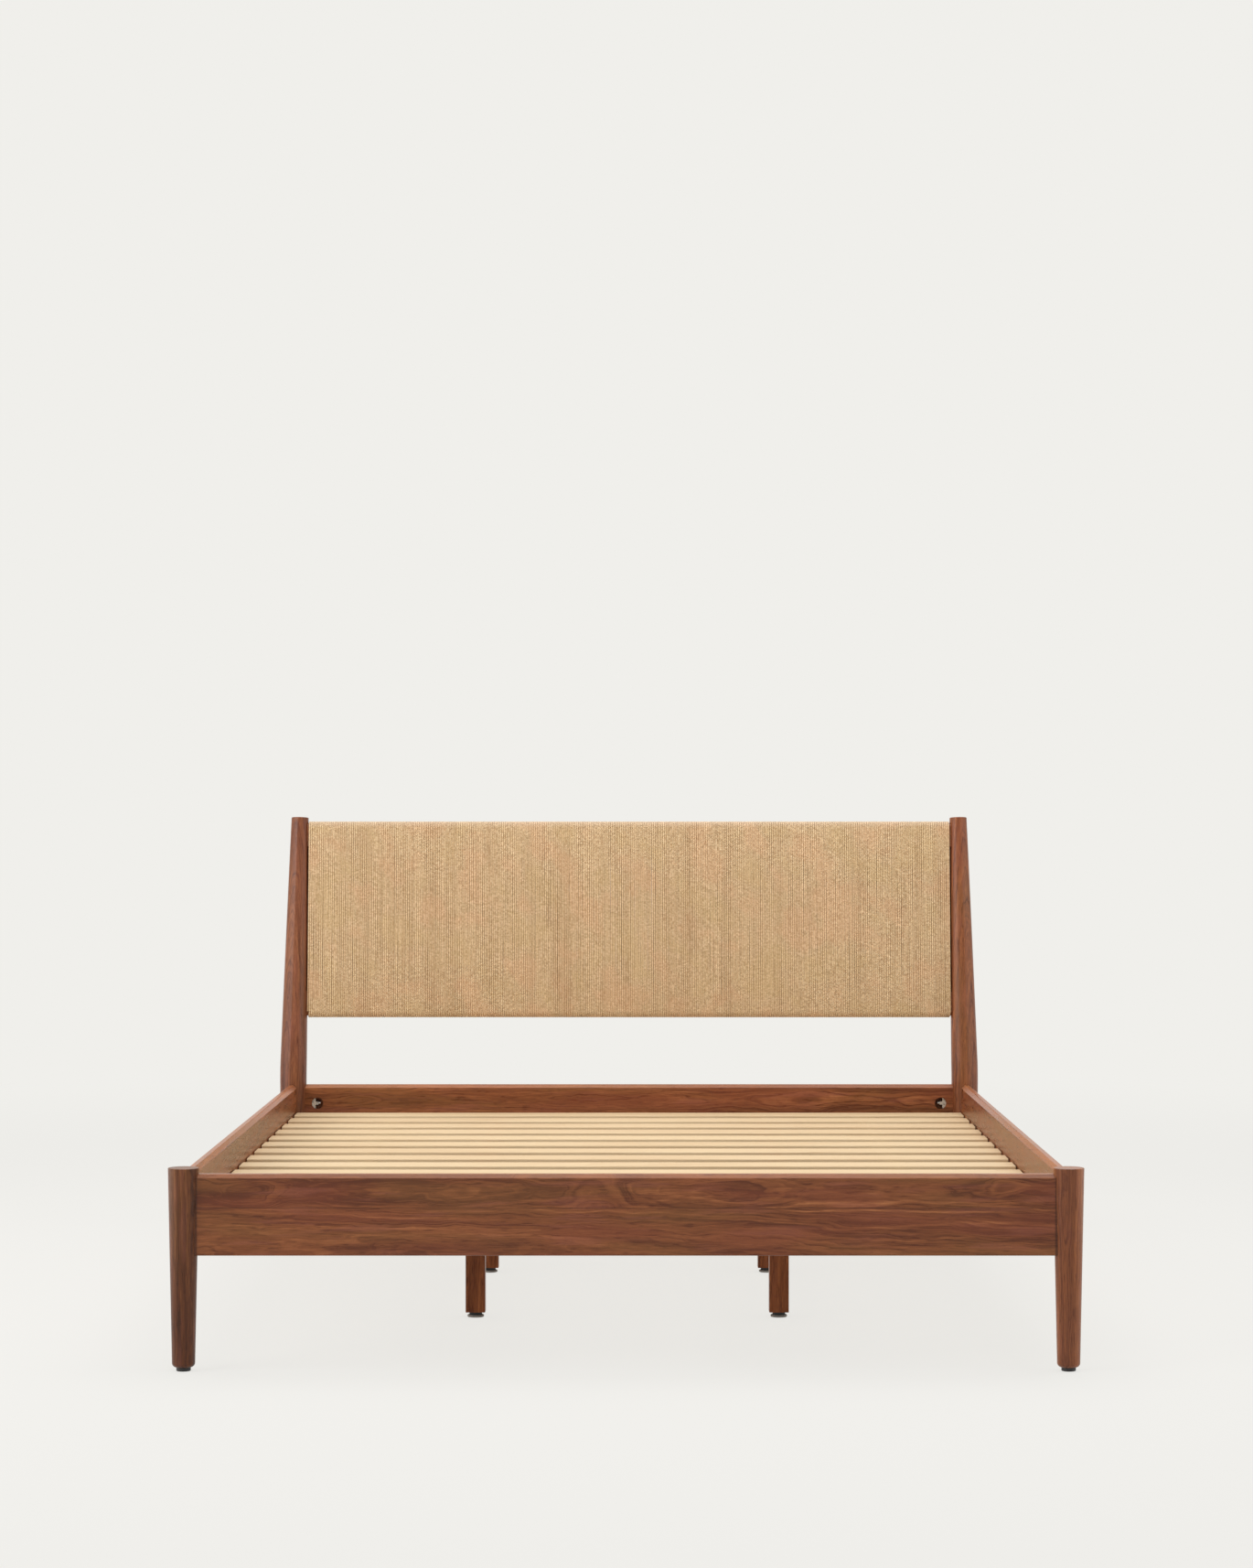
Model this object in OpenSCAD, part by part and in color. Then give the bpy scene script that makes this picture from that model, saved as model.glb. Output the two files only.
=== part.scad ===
// Double bed frame in walnut, with a raked headboard wound with paper cord.
// Millimetres. +Z is up, +Y runs from the foot of the bed to its head and X = 0 is the middle.
// The origin is on the floor under the middle of the frame. Left is -X, seen from the foot.

/* [Mattress] */
// Width of the mattress that the frame takes
mattress_w = 1600; // [900:10:2000]
// Length of the mattress that the frame takes
mattress_l = 2000; // [1900:10:2200]
// Gap between the mattress and each side rail
side_gap = 9.5; // [4:0.5:20]
// Gap between the mattress and the rail at each end
end_gap = 17; // [5:0.5:30]

/* [Posts] */
// Height of the two posts at the foot
foot_post_h = 377; // [372:1:420]
// Diameter of a foot post at its top
foot_post_d = 58; // [52:0.5:70]
// Height of the two posts at the head
head_post_h = 1019; // [900:1:1200]
// Diameter of a head post where it is thickest, above the rails
head_post_d = 64.5; // [58:0.5:76]
// Diameter of a head post at its top
head_post_top_d = 42; // [36:0.5:50]
// Diameter of all four posts at the floor
post_bottom_d = 43; // [38:0.5:50]
// Swell of the upper half of a head post, beyond a straight taper
post_swell = 0.5; // [0:0.25:3]
// Rounding at the lower end of a post
post_bottom_r = 8; // [3:0.5:10]
// Rounding around the top of a post
post_top_r = 1.5; // [1:0.5:6]
// How far the head posts stand inside the line of the side rails
head_post_inset = 2; // [0:0.5:5]
// Angle by which the headboard leans back
rake = 5.5; // [0.5:0.5:10]
// Radius of the bend in a head post
bend_r = 500; // [200:10:900]

/* [Rails] */
// Height of all four rails
rail_h = 151; // [130:1:180]
// Height of the rails' lower edges above the floor
rail_bottom_z = 215; // [180:1:220]
// Thickness of the foot rail
foot_rail_t = 28; // [22:0.5:32]
// Thickness of the side rails
side_rail_t = 25; // [20:0.5:30]
// Thickness of the rail at the head, behind the mattress
head_rail_t = 25; // [20:0.5:30]
// Bevel along the rails' upper edges
rail_bevel = 7.5; // [2:0.5:8]
// Rounding of the bevel's corners
bevel_soft = 3; // [1:0.5:4]
// Rounding of the rails' lower edges
rail_bottom_r = 3; // [1:0.5:6]
// Distance from a post's axis to the floor of the housing that a rail stands in
rail_seat = 15; // [12:0.5:18]

/* [Headboard] */
// Height of the cord panel, along its slope
panel_h = 482; // [300:1:560]
// How far the panel's top stays below the posts' tops
panel_drop = 11; // [5:1:40]
// Thickness of the panel over both layers of cord
panel_t = 30; // [24:0.5:40]
// Diameter of the paper cord
cord_d = 4.6; // [3:0.1:6]
// Depth of the grooves between neighbouring cords
groove_depth = 1.6; // [1:0.1:2]
// Gap between the outermost cord and a head post
panel_gap = 1; // [1:0.5:10]
// Height of the two rails inside the cord
board_rail_h = 58; // [40:1:80]
// Thickness of the tenons on those rails
tenon_t = 12; // [8:0.5:14]
// Height of the tenons on those rails
tenon_h = 34; // [20:1:40]
// How far the tenons reach into the posts
tenon_l = 24; // [12:1:28]
// How far the two rails inside the cord are let into the posts
board_seat = 4; // [3:0.5:6]
// Width of the two struts inside the cord
strut_w = 45; // [30:1:70]

/* [Slats] */
// Number of slats
slat_count = 14; // [10:1:14]
// Width of a slat
slat_w = 80; // [60:1:95]
// Thickness of a slat
slat_t = 18; // [14:0.5:22]
// Height of the slats' upper faces above the floor
slat_top_z = 300; // [298:1:330]
// Gap between the rails and the outermost slats
slat_end_gap = 25; // [24:1:60]
// Gap between a slat's end and the side rail
slat_side_gap = 3; // [1:0.5:8]
// Thickness of the ledges that carry the slats
ledge_t = 20; // [16:0.5:28]
// Height of those ledges
ledge_h = 30; // [24:1:40]
// Gap between the ledges' ends and the rails at foot and head
ledge_end_gap = 30; // [24:1:45]
// Number of screws in each ledge
ledge_screw_count = 7; // [4:1:10]
// Width of the straps under the slats
strap_w = 30; // [20:1:40]
// Thickness of the straps
strap_t = 1.2; // [0.8:0.1:2]
// Distance of each strap from the middle
strap_x = 560; // [420:5:640]

/* [Centre] */
// Distance of the centre beams and legs from the middle
leg_x = 311; // [200:1:360]
// Side of a square centre leg
leg_w = 40; // [34:1:50]
// Rounding of a centre leg's corners
leg_r = 3; // [1:0.5:6]
// Width of a centre beam
beam_w = 28; // [22:1:34]
// Height of a centre beam
beam_h = 60; // [45:1:62]
// Thickness of the steel brackets that carry the beams
bracket_t = 2.5; // [1.5:0.5:4]
// How far a bracket's shelf reaches under its beam
bracket_l = 34; // [24:1:50]

/* [Feet] */
// Thickness of the glides under the posts
glide_t = 7; // [4:0.5:10]
// Diameter of those glides
glide_d = 27; // [16:0.5:30]
// Diameter of a levelling foot's pad
pad_d = 34; // [30:0.5:50]
// Thickness of a levelling foot's pad
pad_t = 4.5; // [4:0.1:8]
// Diameter of the turning collar above the pad
collar_d = 26; // [20:0.5:30]
// Height of that collar
collar_h = 6; // [4:0.5:12]
// Diameter of the levelling screw
screw_d = 8; // [6:0.5:9]
// Length of the levelling screw above its collar
screw_l = 50; // [40:1:70]

/* [Hardware] */
// Diameter of the studs that pull the rails to the posts
stud_d = 8; // [6:0.5:9]
// How far a stud is screwed into its post
stud_in_post = 30; // [20:1:34]
// Diameter of the pockets for the nuts, in the rails' inner faces
pocket_d = 28; // [26:0.5:32]
// Distance from a rail's end to the middle of its pockets
pocket_in = 45; // [38:1:60]
// Diameter of the locating dowels
dowel_d = 8; // [6:0.5:9]
// How far a dowel reaches into its rail
dowel_in_rail = 20; // [12:1:30]

/* [Fits] */
// Gap all round where one piece is let into another
fit_gap = 0.15; // [0.1:0.05:0.3]
// Radial clearance of a screw or pin that turns
turn_gap = 0.05; // [0.02:0.01:0.1]
// Gap between the collar and the leg above it when the foot is screwed right in
collar_gap = 0.3; // [0.2:0.1:1]

/* [Hidden] */
$fn = 64;
past = 1; // how far a cut runs past the face that it opens

// Places of the rails and posts
rail_mid_z = rail_bottom_z + rail_h / 2;
rail_top_z = rail_bottom_z + rail_h;
rail_x = mattress_w / 2 + side_gap + side_rail_t / 2;
side_inner_x = rail_x - side_rail_t / 2;
head_post_x = rail_x - head_post_inset;
post_span = foot_rail_t / 2 + mattress_l + 2 * end_gap + head_rail_t / 2;

// Lean of a head post: back by the rake, and inwards so that its inner side stays upright
knee_rise = 6;
knee_z = rail_top_z + knee_rise;
post_r_mid = head_post_d / 2;
post_r_top = head_post_top_d / 2;
lean_back = tan(rake);
lean_in = (post_r_mid - post_r_top) / (head_post_h - knee_z);
lean = atan(sqrt(lean_back * lean_back + lean_in * lean_in));
lean_turn = atan2(lean_in, lean_back);
bend_rise = bend_r * sin(lean);
bend_shift = bend_r * (1 - cos(lean));
upper_l = (head_post_h - post_r_top * sin(lean) - knee_z - bend_rise) / cos(lean);
bend_lip = 0.02; // the bend stands this much proud of the halves that it joins
bend_lap = 0.5; // how far each half runs into the bend

// Lengthwise places, set so that the origin is under the middle of the whole frame, to a tenth of a millimetre
head_reach = bend_shift * cos(lean_turn) + upper_l * sin(lean) * cos(lean_turn) + post_r_top * cos(lean);
overall_l = foot_post_d / 2 + post_span + head_reach;
foot_y = -round(10 * (overall_l / 2 - foot_post_d / 2)) / 10;
head_y = foot_y + post_span;
foot_inner_y = foot_y + foot_rail_t / 2;
head_inner_y = head_y - head_rail_t / 2;

// Headboard: the panel's middle plane runs through the axes of the two leaning posts
panel_half_w = head_post_x - post_r_mid - panel_gap;
panel_mid_z = head_post_h - panel_drop - (panel_h / 2 - panel_t / 2) * cos(rake) - panel_t / 2;
panel_mid_y = head_y + bend_shift * cos(lean_turn) + (panel_mid_z - knee_z - bend_rise) * lean_back;
cord_count = floor(2 * panel_half_w / cord_d);
groove_angle = 78;
core_t = panel_t - 2 * cord_d - 2 * fit_gap;
core_h = panel_h - 2 * cord_d - 2 * fit_gap;
board_rail_half = panel_half_w + panel_gap + board_seat - fit_gap;
strut_x = panel_half_w / 3;
strut_t = core_t - 2;

// Slats, ledges and straps
slat_bottom_z = slat_top_z - slat_t;
slat_half_l = side_inner_x - slat_side_gap;
slat_r = 3;
first_slat_y = foot_inner_y + slat_end_gap + slat_w / 2;
last_slat_y = head_inner_y - slat_end_gap - slat_w / 2;
slat_pitch = (last_slat_y - first_slat_y) / (slat_count - 1);
ledge_l = head_inner_y - foot_inner_y - 2 * ledge_end_gap;
ledge_mid_y = (head_inner_y + foot_inner_y) / 2;
ledge_mid_x = side_inner_x - ledge_t / 2;
ledge_r = 2;
ledge_screw_inset = 110;
ledge_screw_pitch = (ledge_l - 2 * ledge_screw_inset) / (ledge_screw_count - 1);
strap_inset = 8;

// Centre beams and legs
beam_bottom_z = slat_bottom_z - beam_h;
beam_end_gap = 0.5;
beam_half_l = (head_inner_y - foot_inner_y) / 2 - bracket_t - beam_end_gap;
beam_r = 2;
pad_gap = 0.1;
leg_bottom_z = pad_t + pad_gap + collar_h + collar_gap;
leg_rows = [round(foot_y + post_span / 3), round(foot_y + post_span * 2 / 3)];
leg_names = ["front_left", "front_right", "rear_left", "rear_right"];
leg_spots = [[-leg_x, leg_rows[0]], [leg_x, leg_rows[0]], [-leg_x, leg_rows[1]], [leg_x, leg_rows[1]]];
leg_stud_l = 70;
flange_w = 14;
bracket_play = 0.5;
bracket_screw_z = beam_h / 4;

// Levelling feet and their threaded inserts
pad_edge = 1;
spigot_d = 12;
spigot_l = pad_t - 1.6;
insert_flange_d = 22;
insert_flange_t = 1.6;
insert_barrel_d = screw_d + 3;
insert_barrel_l = 11;
screw_bore_d = screw_d + 1;

// Wood screws: diameter, head diameter and length
ledge_screw = [4.5, 8.5, 35];
slat_screw = [4, 7.5, 34];
bracket_screw = [4, 7.5, 20];
glide_nail_d = 3;
glide_nail_l = 16;

// Stud joints between rails and posts. Studs in the two rails of a corner pass above and below each other.
pocket_wall = 6.5;
side_stud_z = rail_h / 2 - pocket_d / 2 - pocket_wall;
stud_stagger = 25;
cross_stud_z = side_stud_z - stud_stagger;
stud_hole_d = stud_d + 1;
nut_w = stud_d * 13 / 8;
nut_t = stud_d * 0.8;
washer_flat = 5;
washer_w = 14;
pocket_past = washer_w / 2 + 0.5;
stud_past_nut = 5;
stud_l = stud_in_post + pocket_in - washer_flat + nut_t + stud_past_nut;
dowel_in_post = rail_seat - dowel_d / 2 - 1;

// Each rail end: x, y, direction into the rail, and whether the inner face lies on the mirrored side
cross_ends = [
    [-(rail_x - rail_seat), foot_y, 0, false],
    [rail_x - rail_seat, foot_y, 180, true],
    [-(head_post_x - rail_seat), head_y, 0, true],
    [head_post_x - rail_seat, head_y, 180, false]];
side_ends = [
    [rail_x, foot_y + rail_seat, 90, false],
    [rail_x, head_y - rail_seat, -90, true],
    [-rail_x, foot_y + rail_seat, 90, true],
    [-rail_x, head_y - rail_seat, -90, false]];

walnut = [0.46, 0.29, 0.20];
walnut_dark = [0.40, 0.25, 0.17];
pale_wood = [0.80, 0.67, 0.49];
cord_tan = [0.78, 0.65, 0.48];
webbing = [0.90, 0.88, 0.82];
steel = [0.72, 0.72, 0.70];
black = [0.10, 0.10, 0.10];
grey = [0.38, 0.37, 0.35];

// Points along an arc, for the outline of a turned piece
function arc(cx, cy, r, from, to, steps = 8) =
    [for (i = [0:steps]) let (a = from + (to - from) * i / steps) [cx + r * cos(a), cy + r * sin(a)]];

// Radius of a head post's upper half, from the bend (0) to the top (1)
function upper_r(t) = post_r_mid + (post_r_top - post_r_mid) * t + post_swell * 4 * t * (1 - t);

// Radius of its lower half, from the floor (0) to the bend (1)
function lower_r(t) = post_r_mid - (post_r_mid - post_bottom_d / 2) * pow(1 - t, 2);

// Upright section of a slat, ledge or beam: its lower edge at y = 0, all four edges rounded
module round_section(t, h, r) {
    translate([-t / 2, r]) square([t, h - 2 * r]);
    translate([r - t / 2, 0]) square([t - 2 * r, h]);
    for (s = [-1, 1], y = [r, h - r]) translate([s * (t / 2 - r), y]) circle(r);
}

// Upright section of one of the four rails around the bed, its upper edges bevelled at 45 degrees
module bevelled_section(t, h, grow = 0) {
    half = t / 2 + grow;
    high = h + grow;
    reach = bevel_soft * tan(22.5);
    slope = bevel_soft * sin(45);
    face_z = high - rail_bevel - reach;
    top_x = half - rail_bevel - reach;
    translate([rail_bottom_r - half, -grow]) square([2 * (half - rail_bottom_r), rail_bottom_r]);
    polygon([
        [-half, rail_bottom_r - grow], [half, rail_bottom_r - grow], [half, face_z],
        [half - bevel_soft + slope, face_z + slope], [top_x + slope, high - bevel_soft + slope], [top_x, high],
        [-top_x, high], [-top_x - slope, high - bevel_soft + slope], [bevel_soft - half - slope, face_z + slope],
        [-half, face_z]]);
    for (s = [-1, 1]) {
        translate([s * (half - rail_bottom_r), rail_bottom_r - grow]) circle(rail_bottom_r);
        translate([s * (half - bevel_soft), face_z]) circle(bevel_soft);
        translate([s * top_x, high - bevel_soft]) circle(bevel_soft);
    }
}

// A bar with that section along X or along Y, its lower edge on the plane z = 0
module bar_along_x(half_l, t, h, r) {
    rotate([90, 0, 90])
        translate([0, 0, -half_l])
            linear_extrude(2 * half_l)
                round_section(t, h, r);
}

module bar_along_y(from_y, to_y, t, h, r) {
    translate([0, to_y, 0])
        rotate([90, 0, 0])
            linear_extrude(to_y - from_y)
                round_section(t, h, r);
}

module cross_rail_blank(y, half_l, t, grow) {
    translate([-half_l, y, rail_bottom_z])
        rotate([90, 0, 90])
            linear_extrude(2 * half_l)
                bevelled_section(t, rail_h, grow);
}

module foot_rail_blank(grow = 0) {
    cross_rail_blank(foot_y, rail_x - rail_seat + grow, foot_rail_t, grow);
}

module head_rail_blank(grow = 0) {
    cross_rail_blank(head_y, head_post_x - rail_seat + grow, head_rail_t, grow);
}

module side_rail_blank(side, grow = 0) {
    translate([side * rail_x, head_y - rail_seat + grow, rail_bottom_z])
        rotate([90, 0, 0])
            linear_extrude(head_y - foot_y - 2 * (rail_seat - grow))
                bevelled_section(side_rail_t, rail_h, grow);
}

// Sets children at a rail's end: +X into the rail, +Y to its inner face, z = 0 at half its height
module at_end(end) {
    translate([end[0], end[1], rail_mid_z])
        rotate([0, 0, end[2]])
            if (end[3]) mirror([0, 1, 0]) children();
            else children();
}

// Runs children once for each stud: four at the corners' cross rails, four at the side rails, twice each
module at_studs() {
    for (end = cross_ends) at_end(end) for (s = [-1, 1]) translate([0, 0, s * cross_stud_z]) children();
    for (end = side_ends) at_end(end) for (s = [-1, 1]) translate([0, 0, s * side_stud_z]) children();
}

module at_dowels() {
    for (end = concat(cross_ends, side_ends)) at_end(end) children();
}

module stud() {
    translate([-stud_in_post, 0, 0]) rotate([0, 90, 0]) cylinder(d = stud_d, h = stud_l);
}

module stud_nut() {
    translate([pocket_in - washer_flat, 0, 0])
        rotate([0, 90, 0])
            difference() {
                cylinder(d = nut_w / cos(30), h = nut_t, $fn = 6);
                translate([0, 0, -past]) cylinder(d = stud_d + 2 * fit_gap, h = nut_t + 2 * past);
            }
}

module half_moon_washer() {
    translate([pocket_in, 0, 0])
        difference() {
            rotate([90, 0, 0])
                translate([0, 0, -washer_w / 2])
                    linear_extrude(washer_w)
                        intersection() {
                            circle(d = pocket_d - 2 * fit_gap);
                            translate([-pocket_d, -pocket_d / 2]) square([pocket_d - washer_flat, pocket_d]);
                        }
            translate([-pocket_d, 0, 0]) rotate([0, 90, 0]) cylinder(d = stud_hole_d, h = 2 * pocket_d);
        }
}

module dowel(grow = 0) {
    translate([-dowel_in_post - grow, 0, 0])
        rotate([0, 90, 0])
            cylinder(d = dowel_d + 2 * grow, h = dowel_in_post + dowel_in_rail + 2 * grow);
}

// What is bored into a rail's end for one stud, in a rail of thickness t
module stud_bore_in_rail(t) {
    translate([-past, 0, 0]) rotate([0, 90, 0]) cylinder(d = stud_hole_d, h = pocket_in + past);
    translate([pocket_in, t / 2 + past, 0])
        rotate([90, 0, 0])
            cylinder(d = pocket_d, h = t / 2 + past + pocket_past);
    translate([pocket_in, 0, 0])
        rotate([0, 90, 0])
            cylinder(d = stud_hole_d, h = stud_l - stud_in_post - pocket_in + fit_gap);
}

module stud_bore_in_post() {
    translate([-stud_in_post - fit_gap, 0, 0])
        rotate([0, 90, 0])
            cylinder(d = stud_d + 2 * fit_gap, h = stud_in_post + past);
}

module bore_rail_end(end, t, stud_z) {
    at_end(end) {
        for (s = [-1, 1]) translate([0, 0, s * stud_z]) stud_bore_in_rail(t);
        dowel(fit_gap);
    }
}

module bore_post(end, stud_z) {
    at_end(end) {
        for (s = [-1, 1]) translate([0, 0, s * stud_z]) stud_bore_in_post();
        dowel(fit_gap);
    }
}

// A countersunk wood screw, or the hole for it, with its head flush at z = 0 and its point down
module wood_screw(size, grow = 0) {
    r = size[0] / 2 + grow;
    head_r = size[1] / 2 + grow;
    head_h = (size[1] - size[0]) / 2;
    rise = grow > 0 ? past : 0;
    rotate_extrude()
        polygon([[0, -size[2] - grow], [r, -size[2] - grow], [r, -head_h], [head_r, 0], [head_r, rise], [0, rise]]);
}

module glide_nail(grow = 0) {
    cylinder(d = glide_nail_d + 2 * grow, h = glide_t + glide_nail_l + grow);
}

// A turned foot post on its own axis
module foot_post_blank() {
    top_r = foot_post_d / 2;
    low_r = post_bottom_d / 2;
    rotate_extrude()
        polygon(concat(
            [[0, glide_t]],
            arc(low_r - post_bottom_r, glide_t + post_bottom_r, post_bottom_r, -90, 0),
            arc(top_r - post_top_r, foot_post_h - post_top_r, post_top_r, 0, 90),
            [[0, foot_post_h]]));
}

// A right-hand head post on its own axis: a tapered leg, a bend, and a tapered leaning upper half
module head_post_blank() {
    low_r = post_bottom_d / 2;
    leg_from_z = glide_t + post_bottom_r;
    steps = 12;
    rotate_extrude()
        polygon(concat(
            [[0, glide_t]],
            arc(low_r - post_bottom_r, leg_from_z, post_bottom_r, -90, 0),
            [for (i = [1:steps]) [lower_r(i / steps), leg_from_z + (knee_z - leg_from_z) * i / steps]],
            [[post_r_mid, knee_z + bend_lap], [0, knee_z + bend_lap]]));
    translate([0, 0, knee_z])
        rotate([0, 0, lean_turn - 90]) {
            translate([-bend_r, 0, 0])
                rotate([90, 0, 0])
                    rotate_extrude(angle = lean)
                        translate([bend_r, 0]) circle(post_r_mid + bend_lip);
            translate([-bend_shift, 0, bend_rise])
                rotate([0, -lean, 0])
                    rotate_extrude()
                        polygon(concat(
                            [[0, -bend_lap], [post_r_mid, -bend_lap]],
                            [for (i = [0:steps - 1])
                                [upper_r(i / steps), (upper_l - post_top_r) * i / steps]],
                            arc(post_r_top - post_top_r, upper_l - post_top_r, post_top_r, 0, 90),
                            [[0, upper_l]]));
        }
}

// Sets children on the headboard's sloping middle plane: x across, y through it, z up the slope
module on_headboard() {
    translate([0, panel_mid_y, panel_mid_z]) rotate([-rake, 0, 0]) children();
}

// One of the two rails inside the cord; its outer edge is a half round that the cord turns over
module board_rail(up, grow = 0) {
    radius = core_t / 2 + grow;
    half = board_rail_half + grow;
    mirror([0, 0, up ? 0 : 1]) {
        translate([-half, -radius, core_h / 2 - board_rail_h - grow])
            cube([2 * half, 2 * radius, board_rail_h - core_t / 2 + grow]);
        translate([-half, 0, core_h / 2 - core_t / 2])
            rotate([0, 90, 0])
                cylinder(r = radius, h = 2 * half);
        board_tenons(grow);
    }
}

module board_tenons(grow) {
    half = panel_half_w + panel_gap + tenon_l - fit_gap + grow;
    low_z = core_h / 2 - board_rail_h + (board_rail_h - tenon_h) / 2 - grow;
    translate([-half, -tenon_t / 2 - grow, low_z])
        cube([2 * half, tenon_t + 2 * grow, tenon_h + 2 * grow]);
}

module foot_post(side) {
    color(walnut)
        difference() {
            translate([side * rail_x, foot_y, 0]) foot_post_blank();
            foot_rail_blank(fit_gap);
            side_rail_blank(side, fit_gap);
            bore_post(cross_ends[side < 0 ? 0 : 1], cross_stud_z);
            bore_post(side_ends[side < 0 ? 2 : 0], side_stud_z);
            translate([side * rail_x, foot_y, 0]) glide_nail(fit_gap);
        }
}

module head_post(side) {
    color(walnut)
        difference() {
            mirror([side < 0 ? 1 : 0, 0, 0]) translate([head_post_x, head_y, 0]) head_post_blank();
            head_rail_blank(fit_gap);
            side_rail_blank(side, fit_gap);
            bore_post(cross_ends[side < 0 ? 2 : 3], cross_stud_z);
            bore_post(side_ends[side < 0 ? 3 : 1], side_stud_z);
            on_headboard() {
                board_rail(true, fit_gap);
                board_rail(false, fit_gap);
            }
            translate([side * head_post_x, head_y, 0]) glide_nail(fit_gap);
        }
}

module foot_rail() {
    color(walnut)
        difference() {
            foot_rail_blank();
            bore_rail_end(cross_ends[0], foot_rail_t, cross_stud_z);
            bore_rail_end(cross_ends[1], foot_rail_t, cross_stud_z);
            bracket_screw_set(foot_inner_y, 1, fit_gap);
        }
}

module head_rail() {
    color(walnut)
        difference() {
            head_rail_blank();
            bore_rail_end(cross_ends[2], head_rail_t, cross_stud_z);
            bore_rail_end(cross_ends[3], head_rail_t, cross_stud_z);
            bracket_screw_set(head_inner_y, -1, fit_gap);
        }
}

module side_rail(side) {
    color(walnut)
        difference() {
            side_rail_blank(side);
            bore_rail_end(side_ends[side < 0 ? 2 : 0], side_rail_t, side_stud_z);
            bore_rail_end(side_ends[side < 0 ? 3 : 1], side_rail_t, side_stud_z);
            ledge_screw_row(side, fit_gap);
        }
}

module headboard_top_rail() {
    color(walnut_dark) on_headboard() board_rail(true);
}

module headboard_bottom_rail() {
    color(walnut_dark) on_headboard() board_rail(false);
}

module headboard_struts() {
    strut_h = core_h - 2 * board_rail_h;
    color(pale_wood)
        on_headboard()
            for (s = [-1, 1])
                translate([s * strut_x - strut_w / 2, -strut_t / 2, -strut_h / 2])
                    cube([strut_w, strut_t, strut_h]);
}

// Section of a loop that runs up the front, over the top rail, down the back and under the bottom rail
module loop_section(t, h) {
    for (s = [-1, 1]) translate([0, s * (h - t) / 2]) circle(d = t);
    translate([-t / 2, -(h - t) / 2]) square([t, h - t]);
}

// The sleeve that the winding makes: a cord thick, front and back and round both rails
module cord_sleeve() {
    rotate([90, 0, 90])
        translate([0, 0, -panel_half_w])
            linear_extrude(2 * panel_half_w)
                difference() {
                    loop_section(panel_t, panel_h);
                    loop_section(panel_t - 2 * cord_d, panel_h - 2 * cord_d);
                }
}

// Plan of the grooves between neighbouring cords on one face, which lies at y = 0
module groove_plan() {
    first_x = -(cord_count - 2) / 2 * cord_d;
    half_w = groove_depth * tan(groove_angle / 2);
    past_x = (cord_count - 1) / 2 * cord_d;
    polygon(concat(
        [for (i = [0:cord_count - 2]) let (x = first_x + i * cord_d)
            each [[x - half_w, 0], [x, groove_depth], [x + half_w, 0]]],
        [[past_x, -past], [-past_x, -past]]));
}

// The winding as one sleeve with a groove between every two cords, front and back
module cord_panel() {
    color(cord_tan)
        on_headboard()
            difference() {
                cord_sleeve();
                for (turn = [0, 180])
                    rotate([0, 0, turn])
                        translate([0, -panel_t / 2, -(panel_h - panel_t) / 2])
                            linear_extrude(panel_h - panel_t)
                                groove_plan();
            }
}

module ledge_screw_row(side, grow = 0) {
    for (i = [0:ledge_screw_count - 1])
        translate([
            side * (side_inner_x - ledge_t),
            ledge_mid_y - ledge_l / 2 + ledge_screw_inset + i * ledge_screw_pitch,
            slat_bottom_z - ledge_h / 2])
            rotate([0, -side * 90, 0])
                wood_screw(ledge_screw, grow);
}

module slat_ledge(side) {
    color(pale_wood)
        difference() {
            translate([side * ledge_mid_x, 0, slat_bottom_z - ledge_h])
                bar_along_y(ledge_mid_y - ledge_l / 2, ledge_mid_y + ledge_l / 2, ledge_t, ledge_h, ledge_r);
            ledge_screw_row(side, fit_gap);
            slat_screw_set(fit_gap);
        }
}

module slat_screw_set(grow = 0) {
    for (s = [-1, 1], y = [first_slat_y, last_slat_y])
        translate([s * ledge_mid_x, y, slat_top_z]) wood_screw(slat_screw, grow);
}

module slat(i) {
    color(pale_wood)
        difference() {
            translate([0, first_slat_y + (i - 1) * slat_pitch, slat_bottom_z])
                bar_along_x(slat_half_l, slat_w, slat_t, slat_r);
            if (i == 1 || i == slat_count) slat_screw_set(fit_gap);
        }
}

module slat_strap(side) {
    from_y = first_slat_y - slat_w / 2 + strap_inset;
    to_y = last_slat_y + slat_w / 2 - strap_inset;
    color(webbing)
        translate([side * strap_x - strap_w / 2, from_y, slat_bottom_z - strap_t])
            cube([strap_w, to_y - from_y, strap_t]);
}

module centre_beam(side) {
    color(walnut_dark)
        difference() {
            translate([side * leg_x, 0, beam_bottom_z])
                bar_along_y(ledge_mid_y - beam_half_l, ledge_mid_y + beam_half_l, beam_w, beam_h, beam_r);
            leg_stud_set(fit_gap);
        }
}

// A steel shoe for a beam's end, with the plate against a rail at y = 0 and the shelf towards +Y
module beam_bracket() {
    inside_w = beam_w + 2 * bracket_play;
    outside_w = inside_w + 2 * bracket_t;
    plate_w = outside_w + 2 * flange_w;
    low_z = beam_bottom_z - bracket_t;
    translate([-plate_w / 2, 0, low_z]) cube([plate_w, bracket_t, beam_h + bracket_t]);
    translate([-outside_w / 2, 0, low_z]) cube([outside_w, bracket_l, bracket_t]);
    for (s = [-1, 1])
        translate([s * (outside_w - bracket_t) / 2 - bracket_t / 2, 0, low_z])
            cube([bracket_t, bracket_l, beam_h * 0.7]);
}

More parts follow.
